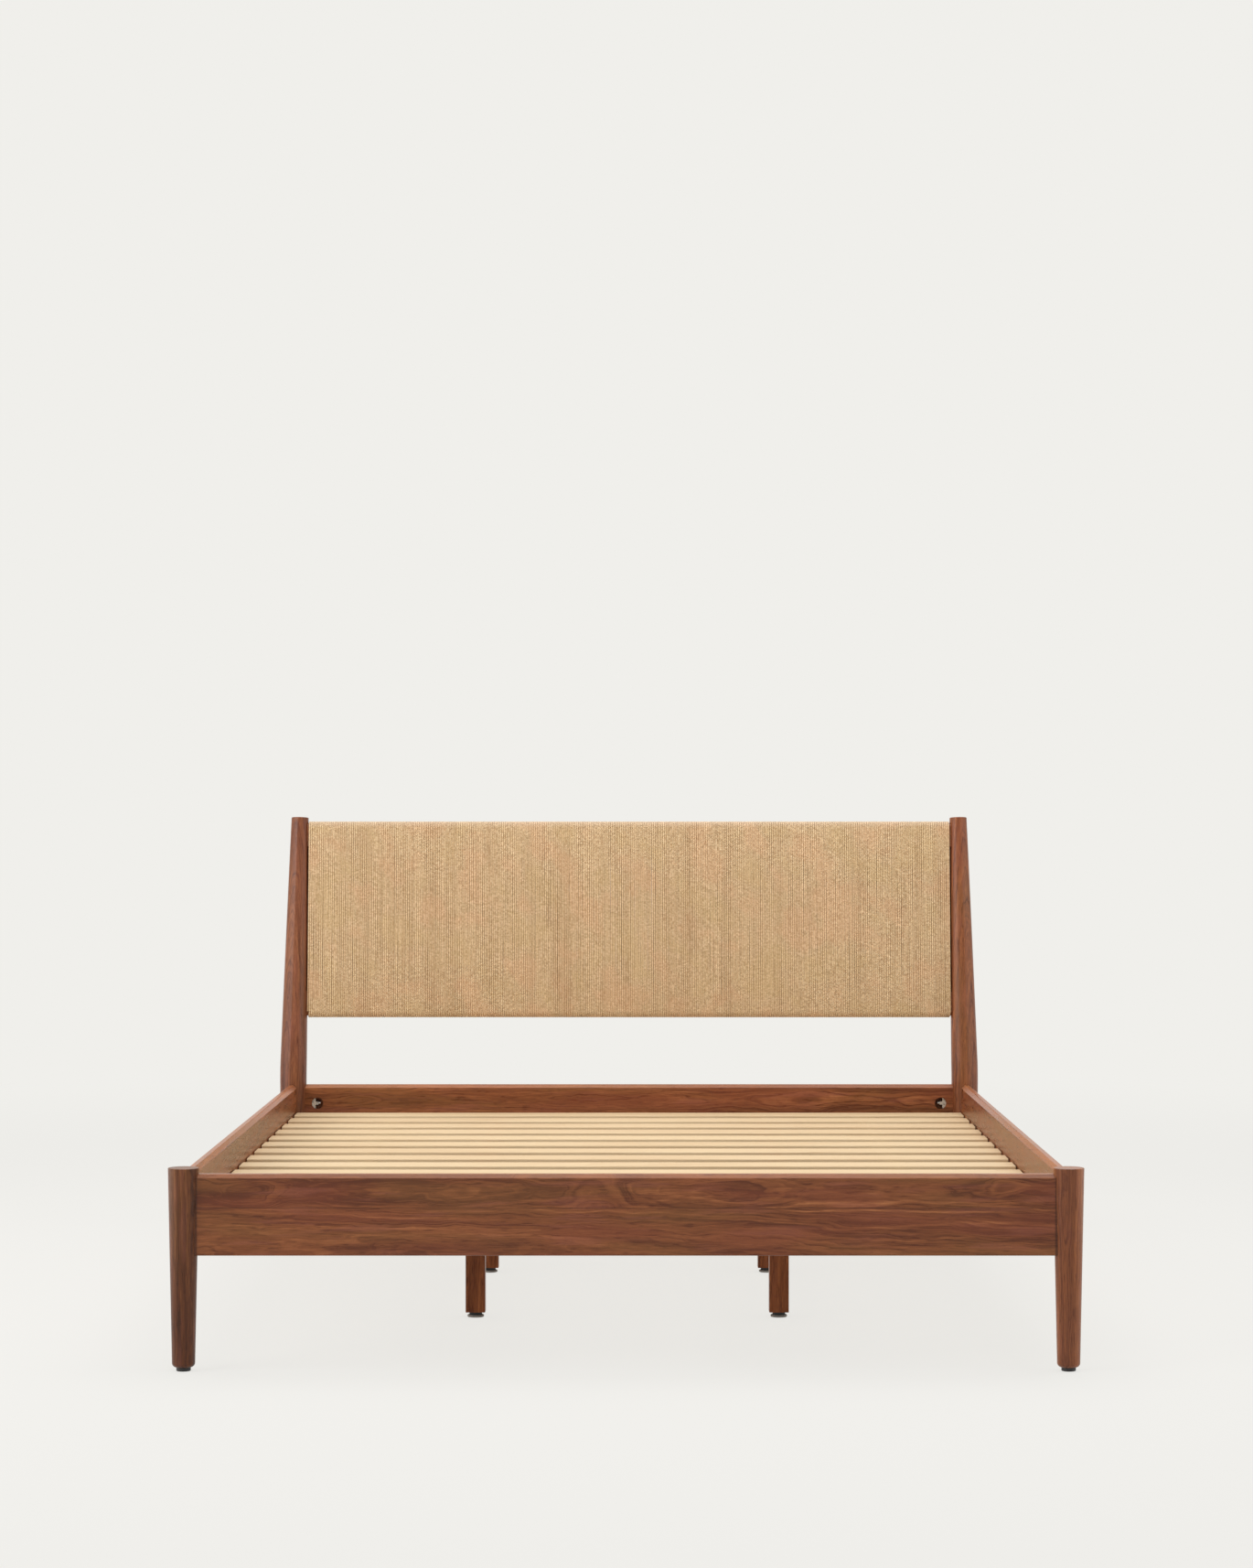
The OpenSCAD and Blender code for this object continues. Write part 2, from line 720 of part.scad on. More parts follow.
// The four screws of each bracket on one rail; out is the way from the rail's face into the bed
module bracket_screw_set(face_y, out, grow = 0) {
    screw_x = beam_w / 2 + bracket_play + bracket_t + flange_w / 2;
    for (beam_side = [-1, 1], s = [-1, 1], z = [-1, 1])
        translate([
            beam_side * leg_x + s * screw_x,
            face_y + out * bracket_t,
            beam_bottom_z + beam_h / 2 + z * bracket_screw_z])
            rotate([-out * 90, 0, 0])
                wood_screw(bracket_screw, grow);
}

module beam_brackets() {
    color(steel)
        difference() {
            for (beam_side = [-1, 1]) {
                translate([beam_side * leg_x, foot_inner_y, 0]) beam_bracket();
                translate([beam_side * leg_x, head_inner_y, 0]) mirror([0, 1, 0]) beam_bracket();
            }
            bracket_screw_set(foot_inner_y, 1, fit_gap);
            bracket_screw_set(head_inner_y, -1, fit_gap);
        }
}

module leg_stud_set(grow = 0) {
    for (spot = leg_spots)
        translate([spot[0], spot[1], beam_bottom_z - leg_stud_l / 2 - grow])
            cylinder(d = stud_d + 2 * grow, h = leg_stud_l + 2 * grow);
}

module threaded_insert(grow = 0) {
    cylinder(d = insert_flange_d + 2 * grow, h = insert_flange_t + grow);
    cylinder(d = insert_barrel_d + 2 * grow, h = insert_flange_t + insert_barrel_l + grow);
}

module threaded_inserts() {
    color(steel)
        for (spot = leg_spots)
            translate([spot[0], spot[1], leg_bottom_z])
                difference() {
                    threaded_insert();
                    translate([0, 0, -past])
                        cylinder(r = screw_d / 2 + turn_gap, h = insert_flange_t + insert_barrel_l + 2 * past);
                }
}

module centre_leg(i) {
    spot = leg_spots[i];
    side = leg_w - 2 * leg_r;
    color(walnut)
        difference() {
            translate([spot[0], spot[1], leg_bottom_z])
                linear_extrude(beam_bottom_z - leg_bottom_z) {
                    square([leg_w, side], center = true);
                    square([side, leg_w], center = true);
                    for (sx = [-1, 1], sy = [-1, 1]) translate([sx * side / 2, sy * side / 2]) circle(leg_r);
                }
            translate([spot[0], spot[1], leg_bottom_z - past]) {
                translate([0, 0, past]) threaded_insert(fit_gap);
                cylinder(d = insert_flange_d + 2 * fit_gap, h = past + insert_flange_t);
                cylinder(d = screw_bore_d, h = past + screw_l + collar_gap);
            }
            leg_stud_set(fit_gap);
        }
}

module levelling_pad(i) {
    spot = leg_spots[i];
    color(grey)
        translate([spot[0], spot[1], 0])
            difference() {
                rotate_extrude()
                    polygon([[0, 0], [pad_d / 2 - pad_edge, 0], [pad_d / 2, pad_edge],
                        [pad_d / 2, pad_t - pad_edge], [pad_d / 2 - pad_edge, pad_t], [0, pad_t]]);
                translate([0, 0, pad_t - spigot_l])
                    cylinder(r = spigot_d / 2 + turn_gap, h = spigot_l + past);
            }
}

// The turning part of a levelling foot: a spigot in the pad, a collar and the screw
module levelling_screw(i) {
    spot = leg_spots[i];
    collar_z = pad_t + pad_gap;
    color(black)
        translate([spot[0], spot[1], 0])
            rotate_extrude()
                polygon([[0, collar_z - spigot_l], [spigot_d / 2, collar_z - spigot_l], [spigot_d / 2, collar_z],
                    [collar_d / 2, collar_z], [collar_d / 2, collar_z + collar_h - pad_edge],
                    [collar_d / 2 - pad_edge, collar_z + collar_h], [screw_d / 2, collar_z + collar_h],
                    [screw_d / 2, collar_z + collar_h + screw_l - pad_edge],
                    [screw_d / 2 - pad_edge, collar_z + collar_h + screw_l], [0, collar_z + collar_h + screw_l]]);
}

module glide(x, y) {
    radius = glide_d / 2;
    color(black)
        translate([x, y, 0]) {
            rotate_extrude()
                polygon(concat([[0, 0]], arc(radius - 1.5, 1.5, 1.5, -90, 0, 4), [[radius, glide_t], [0, glide_t]]));
            glide_nail();
        }
}

module bed_studs() {
    color(steel) at_studs() stud();
}

module half_moon_washers() {
    color(steel) at_studs() half_moon_washer();
}

module stud_nuts() {
    color(steel) at_studs() stud_nut();
}

module locating_dowels() {
    color(pale_wood) at_dowels() dowel();
}

module leg_studs() {
    color(steel) leg_stud_set();
}

module ledge_screws() {
    color(steel) for (side = [-1, 1]) ledge_screw_row(side);
}

module slat_screws() {
    color(steel) slat_screw_set();
}

module bracket_screws() {
    color(steel) {
        bracket_screw_set(foot_inner_y, 1);
        bracket_screw_set(head_inner_y, -1);
    }
}

foot_post(-1);  // foot_post_left
foot_post(1);  // foot_post_right
head_post(-1);  // head_post_left
head_post(1);  // head_post_right
foot_rail();
side_rail(-1);  // side_rail_left
side_rail(1);  // side_rail_right
head_rail();
headboard_top_rail();
headboard_bottom_rail();
headboard_struts();
cord_panel();
slat_ledge(-1);  // slat_ledge_left
slat_ledge(1);  // slat_ledge_right
for (i = [1:slat_count])
    slat(i);
slat_strap(-1);  // slat_strap_left
slat_strap(1);  // slat_strap_right
centre_beam(-1);  // centre_beam_left
centre_beam(1);  // centre_beam_right
for (i = [0:3]) {
    centre_leg(i);
    levelling_pad(i);
    levelling_screw(i);
}
glide(-rail_x, foot_y);  // foot_glide_left
glide(rail_x, foot_y);  // foot_glide_right
glide(-head_post_x, head_y);  // head_glide_left
glide(head_post_x, head_y);  // head_glide_right
beam_brackets();
threaded_inserts();
bed_studs();
half_moon_washers();
stud_nuts();
locating_dowels();
leg_studs();
ledge_screws();
slat_screws();
bracket_screws();
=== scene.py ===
"""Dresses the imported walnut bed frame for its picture.

The CAD nodes of the posts, rails, legs and slats keep their shapes and get their woods. The headboard's cord,
the levelling screws, the wood screws and the straps under the slats are modelled here in their nodes' places.
Lengths are metres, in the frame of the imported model: +Z up, +Y from the foot of the bed to its head.
"""

from __future__ import annotations

import logging
import math
import random
from dataclasses import dataclass, field
from enum import Enum
from itertools import product
from typing import Any, Callable, Iterable, Sequence, Union

import bmesh
import bpy
import numpy as np
from mathutils import Matrix, Vector

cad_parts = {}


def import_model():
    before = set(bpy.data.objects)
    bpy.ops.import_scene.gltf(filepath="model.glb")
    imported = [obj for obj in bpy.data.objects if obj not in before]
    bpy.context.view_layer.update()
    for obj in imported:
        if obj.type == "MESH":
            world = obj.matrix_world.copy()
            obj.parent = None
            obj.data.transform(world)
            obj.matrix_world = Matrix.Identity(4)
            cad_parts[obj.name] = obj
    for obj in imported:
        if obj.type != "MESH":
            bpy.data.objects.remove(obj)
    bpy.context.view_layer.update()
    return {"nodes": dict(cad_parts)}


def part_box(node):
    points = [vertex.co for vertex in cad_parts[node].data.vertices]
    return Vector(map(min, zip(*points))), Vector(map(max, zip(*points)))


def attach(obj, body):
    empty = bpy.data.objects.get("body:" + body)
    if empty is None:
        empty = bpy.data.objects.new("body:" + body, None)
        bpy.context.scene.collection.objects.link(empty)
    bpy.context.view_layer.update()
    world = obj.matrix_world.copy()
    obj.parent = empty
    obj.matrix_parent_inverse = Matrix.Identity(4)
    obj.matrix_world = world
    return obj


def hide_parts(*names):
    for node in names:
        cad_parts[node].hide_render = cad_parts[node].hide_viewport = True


log = logging.getLogger("bed")
MM = 0.001
BODY = "frame"
SIDES = (-1, 1)
LEGS = ("front_left", "front_right", "rear_left", "rear_right")

Colour = tuple[float, float, float, float]
Spot = tuple[float, float, float]
Piece = bpy.types.Object


def tint(*channels: float) -> Colour:
    """Turns a colour as it is seen on a screen into the linear one that a shader takes.

    Args:
        channels: Red, green and blue, from 0 to 255.

    Returns:
        The linear colour, with full alpha.
    """

    def linear(value: float) -> float:
        """One channel, from 0 to 1."""
        share = value / 255
        return share / 12.92 if share <= 0.04045 else ((share + 0.055) / 1.055) ** 2.4

    return (*map(linear, channels), 1.0)


class Grain(Enum):
    """The way that the fibres of a board run."""

    ACROSS_BED = "x"
    ALONG_BED = "y"
    UPRIGHT = "z"


class Slot(Enum):
    """The record's material slots of the new pieces."""

    PAPER_CORD = "paper_cord"
    WEBBING = "webbing"
    STEEL = "steel"
    BLACK_PLASTIC = "black_plastic"


def joined(operation: str, turned: bool = False) -> Callable[[Term, Part], Term]:
    """Makes an operator that adds one Math node.

    Args:
        operation: The node's operation.
        turned: Whether the other value comes first.

    Returns:
        The operator, as a method of Term.
    """

    def operator(self: Term, other: Part = 0.0) -> Term:
        """Adds the node."""
        values = (other, self) if turned else (self, other)
        return self.paint.add("ShaderNodeMath", {"operation": operation}, dict(enumerate(values)))

    return operator


class Term:
    """A shader socket that Python's operators join to others with Math nodes."""

    def __init__(self, paint: Paint, socket: bpy.types.NodeSocket) -> None:
        """Keeps the node tree and the socket."""
        self.paint = paint
        self.socket = socket

    __add__ = __radd__ = joined("ADD")
    __sub__ = joined("SUBTRACT")
    __rsub__ = joined("SUBTRACT", turned=True)
    __mul__ = __rmul__ = joined("MULTIPLY")
    __truediv__ = joined("DIVIDE")
    __pow__ = joined("POWER")
    __gt__ = joined("GREATER_THAN")
    __mod__ = joined("FLOORED_MODULO")
    size = joined("ABSOLUTE")
    floor = joined("FLOOR")
    sine = joined("SINE")

    def between(self, low: float, high: float) -> Term:
        """Runs smoothly from 0 at low to 1 at high."""
        settings = {"interpolation_type": "SMOOTHSTEP"}
        return self.paint.add("ShaderNodeMapRange", settings, {0: self, 1: low, 2: high, 3: 0.0, 4: 1.0})


Part = Union[Term, float]


class Paint:
    """The node tree of a material or world."""

    def __init__(self, owner: bpy.types.Material | bpy.types.World) -> None:
        """Empties the owner's tree.

        Args:
            owner: The material or world.
        """
        owner.use_nodes = True
        self.owner = owner
        self.tree = owner.node_tree
        self.tree.nodes.clear()

    @classmethod
    def new(cls, name: str) -> Paint:
        """Starts a new material."""
        return cls(bpy.data.materials.new(name))

    def add(
        self,
        kind: str,
        settings: dict[str, Any] | None = None,
        inputs: dict[Any, Any] | None = None,
        output: int | str = 0,
    ) -> Term:
        """Adds one node.

        Args:
            kind: The node's type.
            settings: What is set on the node itself.
            inputs: A value or a Term for each socket, by its number or name.
            output: The socket that is handed back.

        Returns:
            The node's output as a Term.
        """
        node = self.tree.nodes.new(kind)
        for name, value in (settings or {}).items():
            setattr(node, name, value)
        for key, value in (inputs or {}).items():
            if isinstance(value, Term):
                self.tree.links.new(value.socket, node.inputs[key])
            else:
                node.inputs[key].default_value = value
        return Term(self, node.outputs[output]) if len(node.outputs) else Term(self, node.inputs[0])

    def place(self) -> tuple[Term, Term, Term]:
        """The point's own x, y and z."""
        point = self.add("ShaderNodeTexCoord", output="Object")
        return tuple(self.add("ShaderNodeSeparateXYZ", inputs={0: point}, output=axis) for axis in range(3))

    def noise(self, x: Part, y: Part, z: Part, detail: float = 2.0, rough: float = 0.5) -> Term:
        """Noise about 0.5 at a point that is already scaled.

        Args:
            x: The point's x.
            y: The point's y.
            z: The point's z.
            detail: How many finer layers it has.
            rough: The share of each finer layer.

        Returns:
            The noise's value.
        """
        point = self.add("ShaderNodeCombineXYZ", inputs={0: x, 1: y, 2: z})
        inputs = {"Vector": point, "Scale": 1.0, "Detail": detail, "Roughness": rough}
        return self.add("ShaderNodeTexNoise", inputs=inputs)

    def coats(self, colour: Any, *coats: tuple[Part, Any]) -> Term:
        """Lays coats over a colour.

        Args:
            colour: The colour or Term below them.
            coats: How much of each coat shows, from 0 to 1, and its colour.

        Returns:
            The colour with all the coats on it.
        """
        for share, coat in coats:
            inputs = {0: share, 6: colour, 7: coat}
            colour = self.add("ShaderNodeMix", {"data_type": "RGBA"}, inputs, output=2)
        return colour

    def ramp(self, value: Term, stops: dict[float, Colour]) -> Term:
        """Looks a value up in a ramp of colours.

        Args:
            value: The value.
            stops: The colour at each place of the ramp, two of them or more.

        Returns:
            The colour.
        """
        found = self.add("ShaderNodeValToRGB", inputs={0: value})
        elements = found.socket.node.color_ramp.elements
        for number, (place, colour) in enumerate(stops.items()):
            stop = elements[number] if number < 2 else elements.new(place)
            stop.position = place
            stop.color = colour
        return found

    def bump(self, height: Term, depth: float, strength: float) -> Term:
        """The normal of a surface with small relief.

        Args:
            height: The relief, from 0 to 1.
            depth: How deep 1 is, in metres.
            strength: The share of it that shows.

        Returns:
            The normal.
        """
        return self.add("ShaderNodeBump", inputs={"Strength": strength, "Distance": depth, "Height": height})

    def finish(self, **sockets: Any) -> bpy.types.Material:
        """Adds the Principled surface and the output.

        Args:
            sockets: A value or Term for each of the surface's sockets, with _ for a space.

        Returns:
            The material.
        """
        named = {name.replace("_", " "): value for name, value in sockets.items()}
        surface = self.add("ShaderNodeBsdfPrincipled", inputs=named)
        self.add("ShaderNodeOutputMaterial", inputs={"Surface": surface})
        return self.owner


@dataclass(frozen=True)
class Band:
    """A streak of the figure from start to end, each (along the grain, up), lighter by its lift."""

    start: tuple[float, float]
    end: tuple[float, float]
    half: float
    lift: float


@dataclass(frozen=True)
class Log:
    """How a board lies in its tree: where the heart line runs, and how the rings wander about it.

    heart is a point of the heart line, which need not lie in the board. The rings stray by drift metres and
    wave times a metre, and climb by tilt. A swirl is (along, up, reach, push): the rings bulge by push metres
    about a knot that sits there. For an upright piece, up is its y. The wood is lighter by lift, and by fade
    more along each metre of its grain, from its heart's place.
    """

    heart: Spot
    drift: float = 0.030
    wave: float = 2.4
    tilt: float = 0.0
    swirls: tuple[tuple[float, float, float, float], ...] = ()
    bands: tuple[Band, ...] = ()
    lift: float = 0.0
    fade: float = 0.0


@dataclass(frozen=True)
class Walnut:
    """Oiled walnut: growth rings cut by the board's faces, drifting streaks, fine fibres and open pores.

    A board glued up from two has its seam at the height seam, and its upper half comes from the log upper.
    Where its ends stand in posts, housed is how far from the middle a post's face crosses it; the wood just
    short of that is darkened as painted shade in the joint. Above the height bevel the board is lighter: a
    painted highlight for the light that falls on its top edges from above.
    """

    grain: Grain
    log: Log
    seam: float | None = None
    upper: Log | None = None
    housed: float | None = None
    bevel: float | None = None
    ring: float = 0.0050
    mottle: float = 1.0
    gloss: float = 0.25
    tones: tuple[Colour, ...] = (tint(92, 48, 28), tint(126, 73, 42), tint(141, 84, 50), tint(182, 118, 74))
    olive: Colour = tint(122, 83, 44)
    plum: Colour = tint(130, 68, 46)
    blush: Colour = tint(152, 90, 72)
    rubbing_and_painted_highlight: Colour = tint(182, 118, 80)
    pore: Colour = tint(62, 32, 18)

    def material(self, name: str) -> bpy.types.Material:
        """Makes the material.

        Args:
            name: The material's name.

        Returns:
            The material.
        """
        paint = Paint.new(name)
        place = dict(zip("xyz", paint.place()))
        tone, along, side, up = self._tone(paint, place, self.log)
        if self.upper is not None:
            above = place["z"] > self.seam
            other = self._tone(paint, place, self.upper)[0]
            tone = tone + above * (other - tone)
        colour = paint.ramp(tone, dict(zip((0.18, 0.44, 0.57, 0.86), self.tones)))
        hue = paint.noise(along * 2.8, side * 12, up * 19, 1.5)
        warm = paint.noise(along * 6, side * 40, up * 60, 2).between(0.52, 0.68)
        pores = paint.noise(along * 70, side * 1500, up * 1500, 1).between(0.60, 0.72)
        coats = [
            (hue.between(0.50, 0.64) * (0.30 * self.mottle), self.olive),
            ((1 - hue.between(0.36, 0.50)) * (0.40 * self.mottle), self.plum),
            (warm * (0.26 * self.mottle), self.blush),
            (pores * 0.40, self.pore),
        ]
        # painted highlight: the wood above the bevel height is lightened for the light that falls on it from
        # above
        if self.bevel is not None:
            coats.append(((place["z"] - self.bevel).between(-0.0004, 0.0004) * 0.28, self.rubbing_and_painted_highlight))
        if self.seam is not None:
            line = 1 - (place["z"] - self.seam).size().between(0.0002, 0.0010)
            coats.append((line * 0.6, self.pore))
        # painted shade: the rail is darkened within a few millimetres of where it meets a post
        if self.housed is not None:
            painted_joint_shade = (place[self.grain.value].size() - self.housed).between(-0.0035, -0.0005)
            coats.append((painted_joint_shade * 0.72, self.pore))
        fibre = paint.noise(along * 22, side * 620, up * 620, 2)
        return paint.finish(
            Base_Color=paint.coats(colour, *coats),
            Roughness=0.31 + (tone - 0.5) * 0.16 + pores * 0.14,
            Normal=paint.bump(fibre * 0.35 - pores * 0.8, 0.00012, 0.5),
            Specular_IOR_Level=self.gloss,
        )

    def _tone(self, paint: Paint, place: dict[str, Term], log: Log) -> tuple[Term, Term, Term, Term]:
        """How light the wood is, with 0.5 in the middle.

        Args:
            paint: The material's tree.
            place: The point's x, y and z.
            log: How the board lies in its tree.

        Returns:
            The tone, and the place along the grain, beside the heart line and above it.
        """
        off = {axis: place[axis] - start for axis, start in zip("xyz", log.heart)}
        along = off.pop(self.grain.value)
        side, up = off.values()
        up_axis = "y" if self.grain is Grain.UPRIGHT else "z"
        slow = paint.noise(along * log.wave, side * 7, up * 7, 1.5)
        wavy = paint.noise(along * 11, side * 42, up * 42, 2)
        level = up + along * log.tilt
        reach = (side * side + level * level) ** 0.5 + (slow - 0.5) * log.drift + (wavy - 0.5) * 0.013
        for knot_along, knot_up, spread, push in log.swirls:
            far = (place[self.grain.value] - knot_along) / (1.8 * spread)
            high = (place[up_axis] - knot_up) / spread
            near = 1 - (far * far + high * high).between(0.0, 1.0)
            reach = reach + near * near * push
        rings = reach / self.ring
        band = paint.noise(rings * 0.40, along * 0.8, log.heart[0] * 9, 2, 0.5)
        line = paint.noise(rings * 1.5, along * 1.5, 7.7, 3, 0.6)
        curl = (wavy - 0.5) * 1.6
        streak = paint.noise(along * 13, side * 200, up * 200 + curl, 2.5, 0.6)
        tick = paint.noise(along * 32, side * 240, up * 240 + curl, 1.5, 0.5)
        fibre = paint.noise(along * 26, side * 720, up * 720, 2)
        latewood = (rings % 1.0) ** 6
        growth = paint.noise(rings * 0.85, along * 1.3, 3.1, 1.5, 0.5)
        thin = 1 - (growth - 0.5).size().between(0.008, 0.045)
        tone = (band - 0.5) * 0.72 + (line - 0.5) * 0.74 + (streak - 0.5) * 0.46 + (fibre - 0.5) * 0.42
        tone = tone - tick.between(0.58, 0.72) * 0.15 - thin * 0.15 - latewood * 0.07 + (0.505 + log.lift)
        for drawn in log.bands:
            share = (place[self.grain.value] - drawn.start[0]) / (drawn.end[0] - drawn.start[0])
            level = share * (drawn.end[1] - drawn.start[1]) + drawn.start[1]
            off_line = (place[up_axis] - level + (wavy - 0.5) * 0.012 + (slow - 0.5) * 0.010).size()
            ends = share.between(0.0, 0.22) * (1 - share.between(0.78, 1.0))
            tone = tone + (1 - off_line.between(0.0, drawn.half)) * ends * drawn.lift
        if log.fade:
            tone = tone + along * log.fade
        return tone, along, side, up


@dataclass(frozen=True)
class PaleWood:
    """Sanded, unfinished softwood. Boards that lie a pitch apart along the bed come from different places."""

    grain: Grain
    start: float = 0.0
    pitch: float = 1.0
    base: Colour = tint(208, 182, 144)
    streak: Colour = tint(182, 148, 106)
    pale: Colour = tint(220, 198, 160)

    def material(self, name: str) -> bpy.types.Material:
        """Makes the material.

        Args:
            name: The material's name.

        Returns:
            The material.
        """
        paint = Paint.new(name)
        place = dict(zip("xyz", paint.place()))
        board = ((place["y"] - self.start) / self.pitch).floor()
        along = place.pop(self.grain.value) + board * 3.71
        side, through = place.values()
        slow = paint.noise(along * 1.6, side * 9 + board * 1.3, through * 9, 1.5)
        rings = side * 60 + through * 130 + slow * 7 + board * 0.37
        latewood = (rings % 1.0) ** 3
        fibre = paint.noise(along * 14, side * 500, through * 500, 2)
        cloud = paint.noise(along * 2, side * 6, through * 6 + board * 2.1, 1)
        grown = latewood * 0.55 + (fibre - 0.5) * 0.5 + 0.05
        return paint.finish(
            Base_Color=paint.coats(
                self.base, (grown, self.streak), (cloud.between(0.35, 0.7) * 0.35, self.pale)
            ),
            Roughness=0.62 + (fibre - 0.5) * 0.2,
            Normal=paint.bump(fibre, 0.00015, 0.4),
        )


@dataclass(frozen=True)
class PaperCord:
    """Twisted paper cord, read along its length (u, metres) and round it (v, turns)."""

    base: Colour = tint(222, 192, 149)
    shade: Colour = tint(120, 82, 48)
    crest: Colour = tint(246, 220, 182)
    dark_fleck: Colour = tint(160, 120, 78)
    light_fleck: Colour = tint(246, 218, 178)
    straw: Colour = tint(206, 178, 122)
    rose: Colour = tint(228, 172, 132)
    dull: Colour = tint(166, 128, 88)
    dusk: Colour = tint(170, 132, 90)
    # the colour of the painted shade at the top of the panel
    painted_top_shade: Colour = tint(196, 172, 146)
    lay: float = 0.0108
    plies: int = 3

    def material(self, name: str) -> bpy.types.Material:
        """Makes the material.

        Args:
            name: The material's name.

        Returns:
            The material.
        """
        paint = Paint.new(name)
        point = paint.add("ShaderNodeUVMap", {"uv_map": "along_cord"})
        length, round_it = (
            paint.add("ShaderNodeSeparateXYZ", inputs={0: point}, output=number) for number in (0, 1)
        )
        strand = paint.add("ShaderNodeAttribute", {"attribute_name": "strand_tone"}, output="Fac")
        x, y, z = paint.place()
        slip = paint.noise(length * 9, 4.0, 1.0, 1)
        ply = (length / self.lay + round_it + slip * 1.5) * self.plies
        ridge = ((ply % 1.0) * math.pi).sine()
        groove = 1 - ridge.between(0.05, 0.80)
        against = 1 - (round_it - 0.5).size().between(0.20, 0.36)
        slack = paint.noise((x + z * 0.5) * 8, y * 8, z * 4, 1.5).between(0.38, 0.68)
        loose = paint.noise(strand * 40, z * 7, x * 20, 1).between(0.54, 0.68)
        row = paint.noise(x * 260, y * 60, z * 6, 1.5)
        crease = paint.noise(length * 800, round_it * 5, strand * 40, 3, 0.6)
        knot = paint.noise(length * 250, strand * 60, 0.0, 1.0, 0.5)
        cloud = paint.noise(x * 11 + z * 6, y * 24, z * 9 - x * 4, 2.0)
        parted = paint.noise(strand * 60, z * 3.5, 8.3, 1).between(0.56, 0.62)
        flank = (round_it > 0.5) * (1 - (round_it - 0.5).between(0.32, 0.44))
        colour = paint.coats(
            self.base,
            (groove * 0.66, self.shade),
            (against * (slack * 0.42 + 0.34) * (groove * 0.72 + 0.28), self.shade),
            (against * loose * 0.42, self.shade),
            (flank * parted * (groove * 0.3 + 0.7) * 0.85, self.shade),
            (crease.between(0.45, 0.75) * 0.35, self.crest),
            (knot.between(0.50, 0.66) * 0.40, self.dark_fleck),
            ((1 - knot.between(0.34, 0.50)) * 0.44, self.light_fleck),
            (cloud.between(0.50, 0.66) * 0.20, self.straw),
            ((1 - cloud.between(0.36, 0.50)) * 0.18, self.rose),
            (strand.between(0.40, 1.0) * (slack * 0.18 + 0.16), self.dull),
            (row.between(0.50, 0.68) * (slack * 0.10 + 0.07), self.dusk),
            # painted shade: the cord is darkened at the top of the panel, where the light from above falls on
            # it
            (z.between(0.990, 1.004) * 0.55, self.painted_top_shade),
        )
        return paint.finish(
            Base_Color=colour,
            Roughness=0.62 + (crease - 0.5) * 0.3,
            Normal=paint.bump(ridge * 0.8 + crease * 0.3, 0.00050, 0.9),
            Specular_IOR_Level=0.3,
        )


@dataclass(frozen=True)
class Webbing:
    """Flat woven tape that runs along the bed, in twill."""

    base: Colour = tint(200, 195, 180)
    gap: Colour = tint(140, 132, 116)
    fuzz: Colour = tint(216, 211, 198)
    yarn: float = 0.0011

    def material(self, name: str) -> bpy.types.Material:
        """Makes the material.

        Args:
            name: The material's name.

        Returns:
            The material.
        """
        paint = Paint.new(name)
        x, y, z = paint.place()
        warp = ((x / self.yarn) * math.pi).sine().size()
        twill = (((x + y) / (3 * self.yarn)) * math.pi).sine().size()
        fuzz = paint.noise(x * 2600, y * 900, z * 900, 2)
        weave = warp * 0.45 + twill * 0.55
        # painted shade: the gaps between the yarns are darkened
        return paint.finish(
            Base_Color=paint.coats(
                self.base, (1 - weave.between(0.05, 0.55), self.gap), (fuzz * 0.25, self.fuzz)
            ),
            Roughness=0.78 + (fuzz - 0.5) * 0.2,
            Normal=paint.bump(weave * 0.8 + fuzz * 0.2, 0.0003, 0.8),
        )


@dataclass(frozen=True)
class Steel:
    """Zinc-plated steel with soft spangles and fine rubbing marks."""

    base: Colour = tint(206, 206, 202)
    dull: Colour = tint(150, 150, 148)

    def material(self, name: str) -> bpy.types.Material:
        """Makes the material.

        Args:
            name: The material's name.

        Returns:
            The material.
        """
        paint = Paint.new(name)
        x, y, z = paint.place()
        spangle = paint.noise(x * 170, y * 170, z * 170, 1)
        rubbing_and_painted_highlight = paint.noise(x * 900, y * 120, z * 2200, 3)
        return paint.finish(
            Base_Color=paint.coats(self.base, (spangle.between(0.35, 0.7), self.dull)),
            Metallic=1.0,
            Roughness=0.30 + spangle * 0.16 + (rubbing_and_painted_highlight - 0.5) * 0.15,
            Normal=paint.bump(rubbing_and_painted_highlight, 0.00005, 0.4),
        )


@dataclass(frozen=True)
class Moulded:
    """Moulded plastic or rubber with a spark-eroded skin."""

    base: Colour
    worn: Colour
    rough: float

    def material(self, name: str) -> bpy.types.Material:
        """Makes the material.

        Args:
            name: The material's name.

        Returns:
            The material.
        """
        paint = Paint.new(name)
        x, y, z = paint.place()
        skin = paint.noise(x * 3200, y * 3200, z * 3200, 2)
        cloud = paint.noise(x * 90, y * 90, z * 140, 2)
        return paint.finish(
            Base_Color=paint.coats(self.base, (cloud.between(0.4, 0.75) * 0.6, self.worn)),
            Roughness=self.rough + (skin - 0.5) * 0.2,
            Normal=paint.bump(skin, 0.00006, 0.5),
        )


BLACK_PLASTIC = Moulded(tint(20, 17, 16), tint(38, 34, 32), 0.5)
GREY_RUBBER = Moulded(tint(150, 147, 142), tint(172, 168, 162), 0.72)


def linked(name: str, data: bpy.types.ID) -> Piece:
    """Adds an object to the scene.

    Args:
        name: The object's name.
        data: Its mesh, lamp or camera.

    Returns:
        The object.
    """
    piece = bpy.data.objects.new(name, data)
    bpy.context.scene.collection.objects.link(piece)
    return piece


